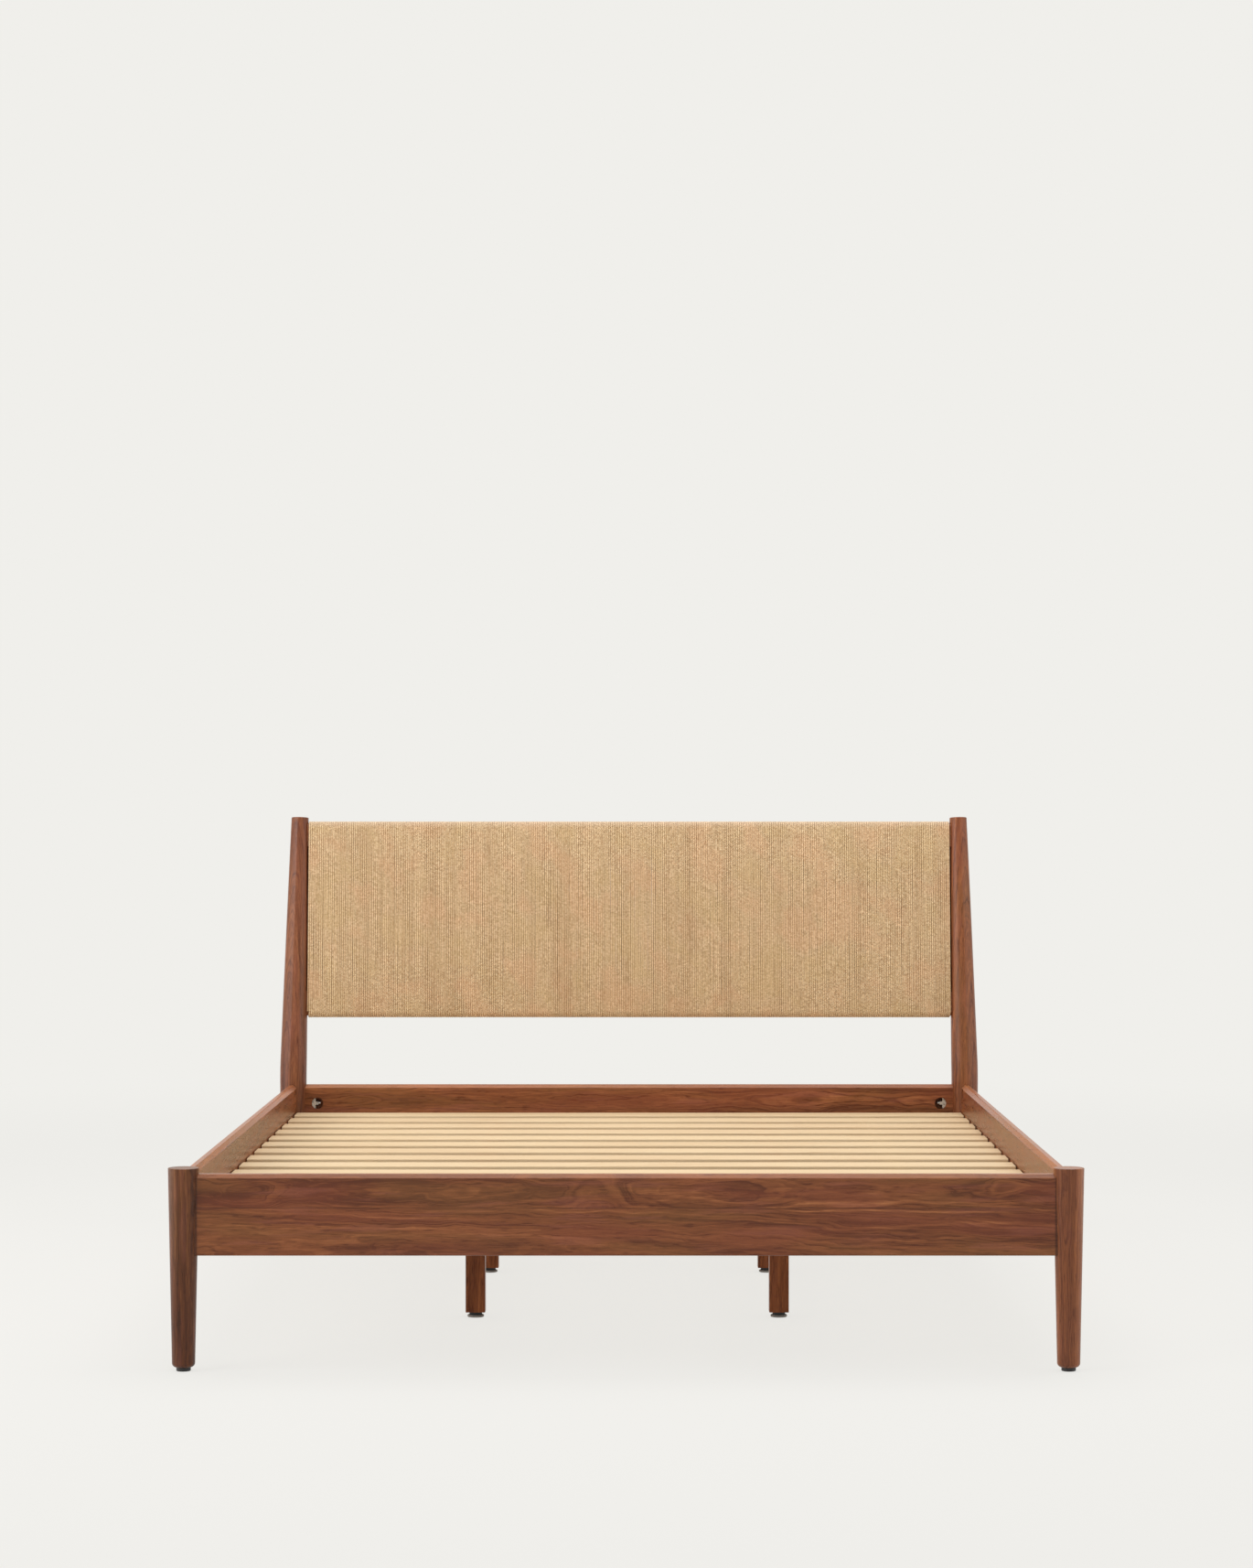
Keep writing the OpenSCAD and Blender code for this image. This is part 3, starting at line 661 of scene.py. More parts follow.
def deselect() -> None:
    """Leaves edit mode and deselects everything."""
    if bpy.context.mode != "OBJECT":
        bpy.ops.object.mode_set(mode="OBJECT")
    bpy.ops.object.select_all(action="DESELECT")


def choose(*pieces: Piece) -> None:
    """Selects pieces and nothing else, in object mode.

    Args:
        pieces: The objects, the active one first.
    """
    deselect()
    for piece in pieces:
        piece.select_set(True)
    bpy.context.view_layer.objects.active = pieces[0]


def extrude(x: float, y: float, z: float) -> None:
    """Extrudes the selection by a step."""
    bpy.ops.mesh.extrude_region_move(TRANSFORM_OT_translate={"value": (x, y, z)})


def primitive(kind: str, name: str, scale: Sequence[float] = (1, 1, 1), **settings: Any) -> Piece:
    """Adds a primitive and opens it for editing, with all of it selected.

    Args:
        kind: The primitive, as its operator names it.
        name: Its name.
        scale: How it is stretched.
        settings: What its operator takes.

    Returns:
        The primitive, in edit mode.
    """
    deselect()
    getattr(bpy.ops.mesh, f"primitive_{kind}_add")(**settings)
    piece = bpy.context.active_object
    piece.name = piece.data.name = name
    piece.scale = scale
    bpy.ops.object.transform_apply(location=True, rotation=True, scale=True)
    bpy.ops.object.mode_set(mode="EDIT")
    bpy.ops.mesh.select_mode(type="FACE")
    bpy.ops.mesh.select_all(action="SELECT")
    return piece


def pick_faces(piece: Piece, test: Callable[[Vector, Vector], bool]) -> None:
    """Selects the faces of a piece in edit mode that pass a test, and only those.

    Args:
        piece: The object in edit mode.
        test: Takes a face's middle and its normal.
    """
    shell = bmesh.from_edit_mesh(piece.data)
    shell.normal_update()
    for face in shell.faces:
        face.select_set(test(face.calc_center_median(), face.normal))
    shell.select_flush_mode()
    bmesh.update_edit_mesh(piece.data)


def apply_modifier(piece: Piece, kind: str, **settings: Any) -> None:
    """Adds a modifier to a piece and applies it.

    Args:
        piece: The object.
        kind: The modifier's type.
        settings: What is set on it.
    """
    choose(piece)
    modifier = piece.modifiers.new(kind.lower(), kind)
    for name, value in settings.items():
        setattr(modifier, name, value)
    bpy.ops.object.modifier_apply(modifier=modifier.name)


def finish_mesh(piece: Piece, angle: float = 35.0) -> Piece:
    """Turns a piece's faces outwards and shades it smooth.

    Args:
        piece: The object.
        angle: The angle in degrees below which two faces are shaded as one.

    Returns:
        The piece, in object mode.
    """
    choose(piece)
    bpy.ops.object.mode_set(mode="EDIT")
    bpy.ops.mesh.select_all(action="SELECT")
    bpy.ops.mesh.normals_make_consistent(inside=False)
    bpy.ops.object.mode_set(mode="OBJECT")
    bpy.ops.object.shade_smooth_by_angle(angle=math.radians(angle))
    return piece


def join(name: str, pieces: Iterable[Piece]) -> Piece:
    """Joins pieces into one object.

    Args:
        name: The name of the joined object.
        pieces: The objects, which are used up.

    Returns:
        The joined object.
    """
    found = list(pieces)
    choose(*found)
    if len(found) > 1:
        bpy.ops.object.join()
    found[0].name = found[0].data.name = name
    return found[0]


def copies(model: Piece, name: str, places: Sequence[Matrix]) -> Piece:
    """Copies a piece to each place, joins the copies and removes the model.

    Args:
        model: The piece, modelled at the origin.
        name: The name of the joined object.
        places: Where each copy stands.

    Returns:
        The joined object.
    """
    made = []
    for place in places:
        mesh = model.data.copy()
        mesh.transform(place)
        made.append(linked(name, mesh))
    bpy.data.objects.remove(model)
    return join(name, made)


def settle(piece: Piece, body: str, slot: Slot, material: bpy.types.Material, *nodes: str) -> None:
    """Gives a new piece its material and body, and lets it stand for its CAD nodes.

    Args:
        piece: The finished piece.
        body: The body that it rides on.
        slot: The record's slot of its material; not used.
        material: Its material.
        nodes: The CAD nodes that it stands for.
    """
    piece.data.materials.clear()
    piece.data.materials.append(material)
    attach(piece, body)
    if nodes:
        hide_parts(*nodes)
    log.info("%s: %d faces on %s", piece.name, len(piece.data.polygons), body)


def middle(node: str) -> Vector:
    """The middle of a CAD node's box."""
    low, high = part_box(node)
    return (low + high) / 2


@dataclass
class CadWork:
    """The CAD nodes that keep their shapes, and how they are dressed."""

    nodes: dict[str, Piece]

    def dress(self, names: Iterable[str], material: bpy.types.Material) -> None:
        """Puts one material on CAD nodes.

        Args:
            names: The nodes' names.
            material: The material.
        """
        for name in names:
            node = self.nodes[name]
            if not node.material_slots:
                node.data.materials.append(material)
            for place in node.material_slots:
                place.material = material
            log.info("%s: %s", name, material.name)


# The streaks that stand out on the foot rail's two boards
LOWER_BOARD = (
    Band((-0.82, 0.303), (-0.18, 0.276), 0.006, 0.24),
    Band((-0.80, 0.288), (-0.40, 0.262), 0.004, -0.16),
    Band((-0.78, 0.278), (-0.46, 0.251), 0.003, 0.12),
    Band((-0.64, 0.232), (-0.44, 0.230), 0.010, -0.12),
    Band((-0.03, 0.241), (0.22, 0.233), 0.008, -0.14),
    Band((0.22, 0.298), (0.76, 0.297), 0.0035, 0.34),
    Band((0.30, 0.262), (0.80, 0.280), 0.005, 0.24),
    Band((0.42, 0.240), (0.66, 0.253), 0.004, 0.18),
    Band((0.40, 0.230), (0.72, 0.243), 0.004, -0.14),
    Band((0.72, 0.234), (0.86, 0.234), 0.008, -0.20),
)
UPPER_BOARD = (
    Band((-0.86, 0.324), (-0.69, 0.322), 0.022, -0.20),
    Band((-0.60, 0.322), (-0.47, 0.318), 0.010, -0.10),
    Band((-0.03, 0.345), (0.12, 0.292), 0.005, -0.16),
    Band((-0.02, 0.345), (0.22, 0.312), 0.009, 0.12),
    Band((0.08, 0.348), (0.42, 0.316), 0.006, -0.14),
    Band((0.28, 0.316), (0.55, 0.314), 0.009, 0.13),
    Band((0.70, 0.308), (0.86, 0.306), 0.010, -0.18),
)


@dataclass
class Joinery:
    """The walnut pieces: posts, rails, centre beams and centre legs."""

    work: CadWork
    seam_height: float = 0.3032
    post_crossing: float = 0.7975
    bevel_foot: float = 0.3585
    darker: dict[str, dict[str, object]] = field(default_factory=lambda: {
        "foot_post_left": {
            "tones": (tint(62, 33, 18), tint(84, 45, 23), tint(96, 54, 28), tint(134, 84, 48)),
            "olive": tint(92, 60, 31),
            "plum": tint(86, 46, 29),
        },
        "foot_post_right": {"olive": tint(124, 90, 54), "plum": tint(128, 78, 54)},
        "head_post_left": {
            "tones": (tint(82, 44, 28), tint(110, 64, 39), tint(124, 74, 46), tint(160, 104, 68)),
            "olive": tint(108, 70, 40),
            "plum": tint(112, 60, 44),
        },
    })

    def dress(self) -> None:
        """Gives each walnut piece its own place in the log."""
        self._cross_rails()
        for number, side in enumerate(("left", "right")):
            aside = 0.034 - 0.050 * number
            self._post(f"foot_post_{side}", aside, -0.040, lift=0.02, fade=0.5 - 0.3 * number)
            aside = -0.024 + 0.055 * number
            self._post(f"head_post_{side}", aside, -0.052, lift=0.0, fade=0.10)
            self._side_rail(side, number)
            beam = middle(f"centre_beam_{side}")
            log = Log((beam.x + 0.03, 0.7, beam.z - 0.05), lift=-0.06)
            self._put(f"centre_beam_{side}", Walnut(Grain.ALONG_BED, log))
        for number, leg in enumerate(LEGS):
            spot = middle(f"centre_leg_{leg}")
            heart = (spot.x + 0.05 - 0.012 * number, spot.y + 0.085, 0.3 * number)
            log = Log(heart, drift=0.014, lift=-0.03)
            walnut = Walnut(Grain.UPRIGHT, log, mottle=0.4, gloss=0.12, olive=tint(124, 74, 38))
            self._put(f"centre_leg_{leg}", walnut)
        for number, rail in enumerate(("headboard_top_rail", "headboard_bottom_rail")):
            spot = middle(rail)
            self._put(rail, Walnut(Grain.ACROSS_BED, Log((0.9 * number, spot.y + 0.05, spot.z - 0.03))))

    def _cross_rails(self) -> None:
        """The rails at the foot and the head, each glued up from two boards."""
        foot = middle("foot_rail")
        heart = (0.35, foot.y + 0.058, 0.190)
        lower = Log(heart, drift=0.034, wave=1.9, tilt=0.045, bands=LOWER_BOARD, lift=-0.075)
        swirls = ((-0.051, 0.326, 0.046, 0.011), (-0.70, 0.325, 0.045, -0.010))
        heart = (-0.6, foot.y + 0.026, 0.338)
        upper = Log(heart, drift=0.034, wave=3.0, swirls=swirls, bands=UPPER_BOARD, lift=-0.075)
        walnut = Walnut(Grain.ACROSS_BED, lower, self.seam_height, upper, self.post_crossing, self.bevel_foot)
        self._put("foot_rail", walnut)
        head = middle("head_rail")
        lower = Log((1.35, head.y - 0.060, 0.232), wave=1.7, tilt=-0.02)
        upper = Log((2.2, head.y - 0.034, 0.330), drift=0.040)
        walnut = Walnut(Grain.ACROSS_BED, lower, self.seam_height - 0.016, upper, bevel=self.bevel_foot)
        self._put("head_rail", walnut)

    def _side_rail(self, side: str, number: int) -> None:
        """Dresses a side rail, glued up from two boards.

        Args:
            side: The side's name.
            number: 0 for the left and 1 for the right.
        """
        rail = middle(f"side_rail_{side}")
        inward = -1 if rail.x > 0 else 1
        lower = Log((rail.x + inward * 0.052, 0.4 + number, 0.205), wave=1.8, tilt=0.02)
        upper = Log((rail.x + inward * 0.031, 2.9 - number, 0.336), drift=0.040)
        seam = self.seam_height + 0.008 - 0.02 * number
        self._put(f"side_rail_{side}", Walnut(Grain.ALONG_BED, lower, seam, upper, bevel=self.bevel_foot))

    def _post(self, node: str, aside: float, behind: float, lift: float, fade: float) -> None:
        """Dresses an upright post.

        Args:
            node: The post's name.
            aside: How far its heart line lies to the right of its axis.
            behind: How far the heart line lies behind its axis.
            lift: How much lighter the post's tone is.
            fade: How much lighter it grows with each metre of height.
        """
        spot = middle(node)
        log = Log((spot.x + aside, spot.y + behind, spot.z), drift=0.022, wave=1.6, lift=lift, fade=fade)
        self._put(node, Walnut(Grain.UPRIGHT, log, mottle=0.8, **self.darker.get(node, {})))

    def _put(self, node: str, walnut: Walnut) -> None:
        """Dresses one node."""
        self.work.dress([node], walnut.material(f"walnut_{node}"))


@dataclass
class CordHeadboard:
    """The headboard's one winding of paper cord, up the front, over the top rail and down the back."""

    cord: float = 4.6 * MM
    thick: float = 30 * MM
    high: float = 482 * MM
    rake: float = math.radians(5.5)
    sides: int = 8
    turn_steps: int = 6
    sway: float = 0.16 * MM
    swell: float = 0.12 * MM
    knots: tuple[float, ...] = (-1.0, -0.33, 0.33, 1.0)
    tone_pull: float = 0.35
    tone_step: float = 0.28
    seed: int = 7

    def build(self) -> Piece:
        """Models the winding.

        Returns:
            The winding as one closed tube.
        """
        low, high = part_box("cord_panel")
        turns = round((high.x - low.x) / self.cord)
        pitch = (high.x - low.x) / turns
        centres, outs, tones = self._path(turns, low.x + pitch / 2, pitch)
        lean = np.array(Matrix.Rotation(-self.rake, 3, "X"))
        centres = centres @ lean.T + np.array((low + high) / 2) * (0, 1, 1)
        outs = outs @ lean.T
        return self._tube(centres, outs, tones)

    def _path(self, turns: int, first: float, pitch: float) -> tuple[np.ndarray, np.ndarray, np.ndarray]:
        """The cord's middle line on the upright panel, before it leans.

        Args:
            turns: How many times the cord goes round.
            first: The first turn's x.
            pitch: The distance from one turn to the next.

        Returns:
            The points, the way out of the panel at each, and the tone of each.
        """
        draw = random.Random(self.seed)
        radius = (self.thick - self.cord) / 2
        half = (self.high - self.thick) / 2
        points, outs, tones = [], [], []
        tone = 0.5
        for turn in range(turns):
            tone += self.tone_pull * (0.5 - tone) + draw.uniform(-self.tone_step, self.tone_step)
            x = first + turn * pitch
            sway = [draw.gauss(0, self.sway) for _ in range(4)]
            proud = [draw.gauss(0, self.swell) for _ in range(4)]
            for side, at in ((-1, 0), (1, 2)):
                asides = (0.0, *sway[at:at + 2], 0.0)
                swells = (0.0, *proud[at:at + 2], 0.0)
                for share, aside, swell in zip(self.knots, asides, swells):
                    points.append((x + aside, side * (radius + swell), -side * share * half))
                    outs.append((0, side, 0))
                arc = self.turn_steps if side < 0 or turn < turns - 1 else 0
                for step in range(1, arc):
                    share = step / self.turn_steps
                    across, up = side * math.cos(math.pi * share), -side * math.sin(math.pi * share)
                    drift = share * pitch if side > 0 else 0.0
                    points.append((x + drift, radius * across, -side * half + radius * up))
                    outs.append((0, across, up))
            tones += [tone] * (len(points) - len(tones))
        return np.array(points), np.array(outs, float), np.array(tones)

    def _tube(self, centres: np.ndarray, outs: np.ndarray, tones: np.ndarray) -> Piece:
        """A closed tube round the line, with its length and turn as a UV map.

        Args:
            centres: The line's points.
            outs: The way out of the panel at each point.
            tones: The tone at each point.

        Returns:
            The tube.
        """
        rings, sides = len(centres), self.sides
        across = np.array((1.0, 0.0, 0.0))
        angles = 2 * math.pi * np.arange(sides) / sides
        radius = self.cord / 2
        verts = (
            centres[:, None]
            + radius * np.cos(angles)[None, :, None] * outs[:, None]
            + radius * np.sin(angles)[None, :, None] * across
        ).reshape(-1, 3)
        verts = np.vstack([verts, centres[:1], centres[-1:]])
        ring, side = np.meshgrid(np.arange(rings - 1), np.arange(sides), indexing="ij")
        here = ring * sides + side
        beside = ring * sides + (side + 1) % sides
        quads = np.stack([here, beside, beside + sides, here + sides], -1).reshape(-1, 4)
        caps = [(rings * sides, (k + 1) % sides, k) for k in range(sides)]
        last = (rings - 1) * sides
        caps += [(rings * sides + 1, last + k, last + (k + 1) % sides) for k in range(sides)]
        mesh = bpy.data.meshes.new("cord_winding")
        mesh.from_pydata(verts.tolist(), [], quads.tolist() + caps)
        length = np.concatenate([[0], np.cumsum(np.linalg.norm(np.diff(centres, axis=0), axis=1))])
        start, end, turn = length[ring], length[ring + 1], side / sides
        beyond = turn + 1 / sides
        spread = np.stack([start, turn, start, beyond, end, beyond, end, turn], -1).reshape(-1)
        flat = np.concatenate([spread, np.zeros(len(caps) * 3 * 2)])
        mesh.uv_layers.new(name="along_cord").data.foreach_set("uv", flat.astype(np.float32))
        strand = mesh.attributes.new("strand_tone", "FLOAT", "POINT")
        strand.data.foreach_set("value", np.append(np.repeat(tones, sides), [0.5, 0.5]).astype(np.float32))
        mesh.shade_smooth()
        return linked("cord_winding", mesh)

    def dress(self, work: CadWork) -> None:
        """Builds the winding and dresses the struts inside it.

        Args:
            work: The CAD nodes.
        """
        settle(self.build(), BODY, Slot.PAPER_CORD, PaperCord().material("paper_cord"), "cord_panel")
        work.dress(["headboard_struts"], PaleWood(Grain.UPRIGHT, -3.0, 9.0).material("pale_struts"))


@dataclass
class SlattedBase:
    """Slats, their ledges, and the straps stapled under them."""

    work: CadWork
    slats: int = 14
    sag: float = 1.6 * MM
    staple_wide: float = 11 * MM
    staple_wire: float = 0.9 * MM
    staple_leg: float = 5 * MM
    staple_spread: float = 18 * MM

    def dress(self) -> None:
        """Dresses the slats and ledges, and builds both straps."""
        names = [f"slat_{number}" for number in range(1, self.slats + 1)]
        pitch = middle(names[1]).y - middle(names[0]).y
        start = middle(names[0]).y - pitch / 2
        self.work.dress(names, PaleWood(Grain.ACROSS_BED, start, pitch).material("pale_slats"))
        ledges = PaleWood(Grain.ALONG_BED, -3.0, 9.0).material("pale_ledges")
        self.work.dress(["slat_ledge_left", "slat_ledge_right"], ledges)
        self.work.dress(["locating_dowels"], PaleWood(Grain.ACROSS_BED).material("pale_dowels"))
        tape = Webbing().material("webbing")
        wire = Steel().material("staple_wire")
        centres = [middle(name).y for name in names]
        for side in ("left", "right"):
            node = f"slat_strap_{side}"
            settle(self._strap(node, centres), BODY, Slot.WEBBING, tape, node)
            settle(self._staples(node, centres), BODY, Slot.STEEL, wire)

    def _strap(self, node: str, centres: Sequence[float]) -> Piece:
        """One tape, flat under each slat and sagging a little between them.

        Args:
            node: The CAD node that it stands for.
            centres: Each slat's place along the bed.

        Returns:
            The strap.
        """
        low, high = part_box(node)
        slat_low, slat_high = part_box("slat_1")
        half = (slat_high.y - slat_low.y) / 2
        stops = []
        for number, y in enumerate(centres):
            stops += [(max(y - half, low.y), 0.0), (min(y + half, high.y), 0.0)]
            if number < len(centres) - 1:
                gap = centres[number + 1] - y - 2 * half
                shares = (0.2, 0.4, 0.6, 0.8)
                stops += [(y + half + gap * share, -self.sag * 4 * share * (1 - share)) for share in shares]
        first = stops[0][0]
        spot = ((low.x + high.x) / 2, first + 0.5 * MM, high.z)
        piece = primitive("plane", f"{node}_tape", (high.x - low.x, 1 * MM, 1), size=1, location=spot)
        bpy.ops.mesh.select_mode(type="EDGE")
        shell = bmesh.from_edit_mesh(piece.data)
        for edge in shell.edges:
            edge.select_set(all(corner.co.y > first + 0.6 * MM for corner in edge.verts))
        bmesh.update_edit_mesh(piece.data)
        place = (first + 1 * MM, 0.0)
        for stop in stops[1:]:
            extrude(0, stop[0] - place[0], stop[1] - place[1])
            place = stop
        apply_modifier(piece, "SOLIDIFY", thickness=high.z - low.z, offset=-1.0)
        apply_modifier(piece, "BEVEL", width=0.3 * MM, segments=2, limit_method="ANGLE")
        return finish_mesh(piece)

    def _staples(self, node: str, centres: Sequence[float]) -> Piece:
        """Two staples through the tape into each slat.

        Args:
            node: The strap's CAD node.
            centres: Each slat's place along the bed.

        Returns:
            All the staples of one strap as one object.
        """
        low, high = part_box(node)
        wire = self.staple_wire
        staple = primitive("cube", "staple", (self.staple_wide, wire, wire), size=1)
        half = self.staple_wide / 2
        for side in SIDES:
            pick_faces(staple, lambda spot, way: way.x * side > 0.9 and spot.x * side > 0.8 * half)
            extrude(side * wire, 0, 0)
            pick_faces(staple, lambda spot, way: way.z > 0.9 and spot.x * side > half)
            extrude(0, 0, self.staple_leg)
        apply_modifier(staple, "BEVEL", width=0.2 * MM, segments=1, limit_method="ANGLE")
        finish_mesh(staple)
        x = (low.x + high.x) / 2
        places = [
            Matrix.Translation((x, y + way * self.staple_spread, low.z - wire * 0.3))
            for y in centres
            for way in SIDES
        ]
        return copies(staple, f"{node}_staples", places)


@dataclass
class LevellingFoot:
    """One centre leg's foot: a grey pad and a screw with a ribbed collar that turns in it."""

    leg: str
    thread_root: float = 3.35 * MM
    pitch: float = 1.25 * MM
    thread_rise: float = 0.66 * MM
    thread_half: float = 0.43 * MM
    spigot_radius: float = 6 * MM
    lip: float = 1.2 * MM
    dish: float = 0.35 * MM
    dish_edge: float = 0.5 * MM
    ribs: int = 36
    rib_depth: float = 0.45 * MM
    rib_edge: float = 0.18 * MM

    def build(self) -> Piece:
        """Models the screw, its collar and the spigot in the pad.

        Returns:
            The turning part as one object.
        """
        low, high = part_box(f"levelling_screw_{self.leg}")
        axis = (low + high) / 2
        pad_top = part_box(f"levelling_pad_{self.leg}")[1].z
        collar_low, collar_r = pad_top + 0.1 * MM, (high.x - low.x) / 2
        collar_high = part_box(f"centre_leg_{self.leg}")[0].z - 0.3 * MM
        collar = self._collar(collar_low, collar_high, collar_r, collar_low - low.z)
        shank = self._shank(collar_high, high.z)
        piece = join(f"levelling_screw_{self.leg}_turned", [collar, *shank])
        piece.data.transform(Matrix.Translation((axis.x, axis.y, 0)))
        return piece

    def _collar(self, bottom: float, top: float, radius: float, spigot: float) -> Piece:
        """The ribbed collar, with the spigot under it.

        Args:
            bottom: The collar's lower face.
            top: The collar's upper face.
            radius: Its radius over the ribs.
            spigot: How far the spigot reaches into the pad.

        Returns:
            The collar.
        """
        spot = (0, 0, (top + bottom) / 2)
        piece = primitive(
            "cylinder", "collar", vertices=self.ribs * 2, radius=radius, depth=top - bottom, location=spot
        )
        pick_faces(piece, lambda spot, way: way.z < -0.9)
        bpy.ops.mesh.inset(thickness=radius - self.spigot_radius)
        extrude(0, 0, -spigot)
        pick_faces(piece, lambda spot, way: way.z > 0.9)
        bpy.ops.mesh.inset(thickness=self.lip)
        bpy.ops.mesh.inset(thickness=self.dish_edge)
        bpy.ops.transform.translate(value=(0, 0, -self.dish))
        step = math.pi / self.ribs

        def valley(spot: Vector, way: Vector) -> bool:
            """Every second face round the rim."""
            rim = abs(way.z) < 0.1 and spot.xy.length > 0.9 * radius
            return rim and int(math.atan2(spot.y, spot.x) / step + 4 * self.ribs) % 2 == 0

        pick_faces(piece, valley)
        bpy.ops.mesh.inset(thickness=self.rib_edge, use_individual=True)
        bpy.ops.transform.shrink_fatten(value=-self.rib_depth)
        return finish_mesh(piece, 28)

    def _shank(self, bottom: float, top: float) -> list[Piece]:
        """The screw's core and the thread round it.

        Args:
            bottom: The collar's upper face.
            top: The screw's end.

        Returns:
            The core and the thread.
        """
        start = bottom - 1 * MM
        spot = (0, 0, (top + start) / 2)
        core = primitive(
            "cylinder", "core", vertices=24, radius=self.thread_root, depth=top - start, location=spot
        )
        pick_faces(core, lambda spot, way: way.z > 0.9)
        bpy.ops.mesh.bevel(offset=0.6 * MM, segments=1, affect="EDGES")
        finish_mesh(core, 40)
        spot = (self.thread_root + 0.15 * MM, 0, bottom + 0.7 * MM)
        thread = primitive(
            "circle", "thread", (self.thread_rise, self.thread_half, 1), vertices=3, fill_type="NOTHING",
            radius=1, rotation=(math.pi / 2, math.pi / 2, 0), location=spot,
        )
        turns = int((top - bottom - 1.2 * MM) / self.pitch)
        apply_modifier(
            thread, "SCREW", axis="Z", angle=2 * math.pi, screw_offset=self.pitch, iterations=turns,
            steps=16, render_steps=16, use_smooth_shade=False,
        )
        bpy.ops.object.mode_set(mode="EDIT")
        bpy.ops.mesh.select_all(action="DESELECT")
        bpy.ops.mesh.select_mode(type="EDGE")
        bpy.ops.mesh.select_non_manifold()
        bpy.ops.mesh.fill_holes(sides=3)
        finish_mesh(thread, 40)
        return [core, thread]


@dataclass
class WoodScrew:
    """A countersunk wood screw with a cross recess, its head's face at the origin and its point down.

    Every size after the head's radius is a share of that radius, and each end is a share of what it closes.
    """

    radius: float
    shank: float = 0.53
    head: float = 0.47
    shaft: float = 3.0
    point: float = 1.0
    rounding: float = 0.06
    recess: Spot = (1.15, 0.26, 1.0)
    point_end: float = 0.15
    recess_end: float = 0.45

    def build(self) -> Piece:
        """Models the screw.

        Returns:
            The screw.
        """
        radius, deep = self.radius, self.radius * self.head
        screw = primitive(
            "cone", "wood_screw", vertices=24, radius1=radius * self.shank, radius2=radius, depth=deep,
            location=(0, 0, -deep / 2),
        )
        pick_faces(screw, lambda spot, way: way.z < -0.9)
        extrude(0, 0, -radius * self.shaft)
        extrude(0, 0, -radius * self.point)
        bpy.ops.transform.resize(value=(self.point_end, self.point_end, 1))
        pick_faces(screw, lambda spot, way: way.z > 0.9)
        bpy.ops.mesh.bevel(offset=radius * self.rounding, segments=1, affect="EDGES")
        cutters = []
        for turn in (0, math.pi / 2):
            bar = [radius * share for share in self.recess]
            cutter = primitive("cube", "recess", bar, size=1, rotation=(0, 0, turn))
            pick_faces(cutter, lambda spot, way: way.z < -0.9)
            bpy.ops.transform.resize(value=(self.recess_end, self.recess_end, 1))
            cutters.append(cutter)
        for cutter in cutters:
            apply_modifier(screw, "BOOLEAN", operation="DIFFERENCE", object=cutter, solver="EXACT")
            bpy.data.objects.remove(cutter)
        return finish_mesh(screw, 30)


@dataclass
class Fittings:
    """Feet, glides, brackets, studs and wood screws."""

    work: CadWork
    bracket_screw_span: float = 48 * MM
    bracket_screw_rise: float = 30 * MM
    bracket_plate: float = 2.5 * MM
    ledge_screws: int = 7
    large_head: float = 4.25 * MM
    small_head: float = 3.75 * MM

    def dress(self) -> None:
        """Builds the screws and levelling feet, and dresses the rest."""
        steel = Steel().material("zinc_steel")
        black = BLACK_PLASTIC.material("black_plastic")
        grey = GREY_RUBBER.material("grey_rubber")
        studs = ("bed_studs", "half_moon_washers", "stud_nuts", "leg_studs")
        self.work.dress(("beam_brackets", "threaded_inserts", *studs), steel)
        glides = [f"{end}_glide_{side}" for end in ("foot", "head") for side in ("left", "right")]
        self.work.dress(glides, black)
        self.work.dress([f"levelling_pad_{leg}" for leg in LEGS], grey)
        for leg in LEGS:
            screw = LevellingFoot(leg).build()
            settle(screw, f"screw_{leg}", Slot.BLACK_PLASTIC, black, f"levelling_screw_{leg}")
        for name, radius, places in self._screw_rows():
            heads = copies(WoodScrew(radius).build(), f"{name}_cross_head", places)
            settle(heads, BODY, Slot.STEEL, steel, name)

    def _screw_rows(self) -> list[tuple[str, float, list[Matrix]]]:
        """Where the wood screws sit, their heads facing out of the wood.

        Returns:
            For each set of screws its node, the radius of a head, and each head's place.
        """
        low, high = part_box("ledge_screws")
        head, level = self.large_head, (low.z + high.z) / 2
        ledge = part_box("slat_ledge_right")[0].x
        step = (high.y - low.y - 2 * head) / (self.ledge_screws - 1)
        spots = [
            Matrix.Translation((side * ledge, low.y + head + step * number, level))
            @ Matrix.Rotation(-side * math.pi / 2, 4, "Y")
            for side, number in product(SIDES, range(self.ledge_screws))
        ]
        rows = [("ledge_screws", head, spots)]
        low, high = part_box("slat_screws")
        head = self.small_head
        spots = [
            Matrix.Translation((side * (high.x - head), y, high.z))
            for side, y in product(SIDES, (low.y + head, high.y - head))
        ]
        rows.append(("slat_screws", head, spots))
        low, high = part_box("bracket_screws")
        outer, level = high.x - head, (low.z + high.z) / 2
        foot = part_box("foot_rail")[1].y + self.bracket_plate
        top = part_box("head_rail")[0].y - self.bracket_plate
        span, rise = self.bracket_screw_span, self.bracket_screw_rise / 2
        spots = [
            Matrix.Translation((side * (outer - inner * span), foot if out > 0 else top, level + up * rise))
            @ Matrix.Rotation(-out * math.pi / 2, 4, "X")
            for out, side, inner, up in product((1, -1), SIDES, (0, 1), SIDES)
        ]
        rows.append(("bracket_screws", head, spots))
        return rows


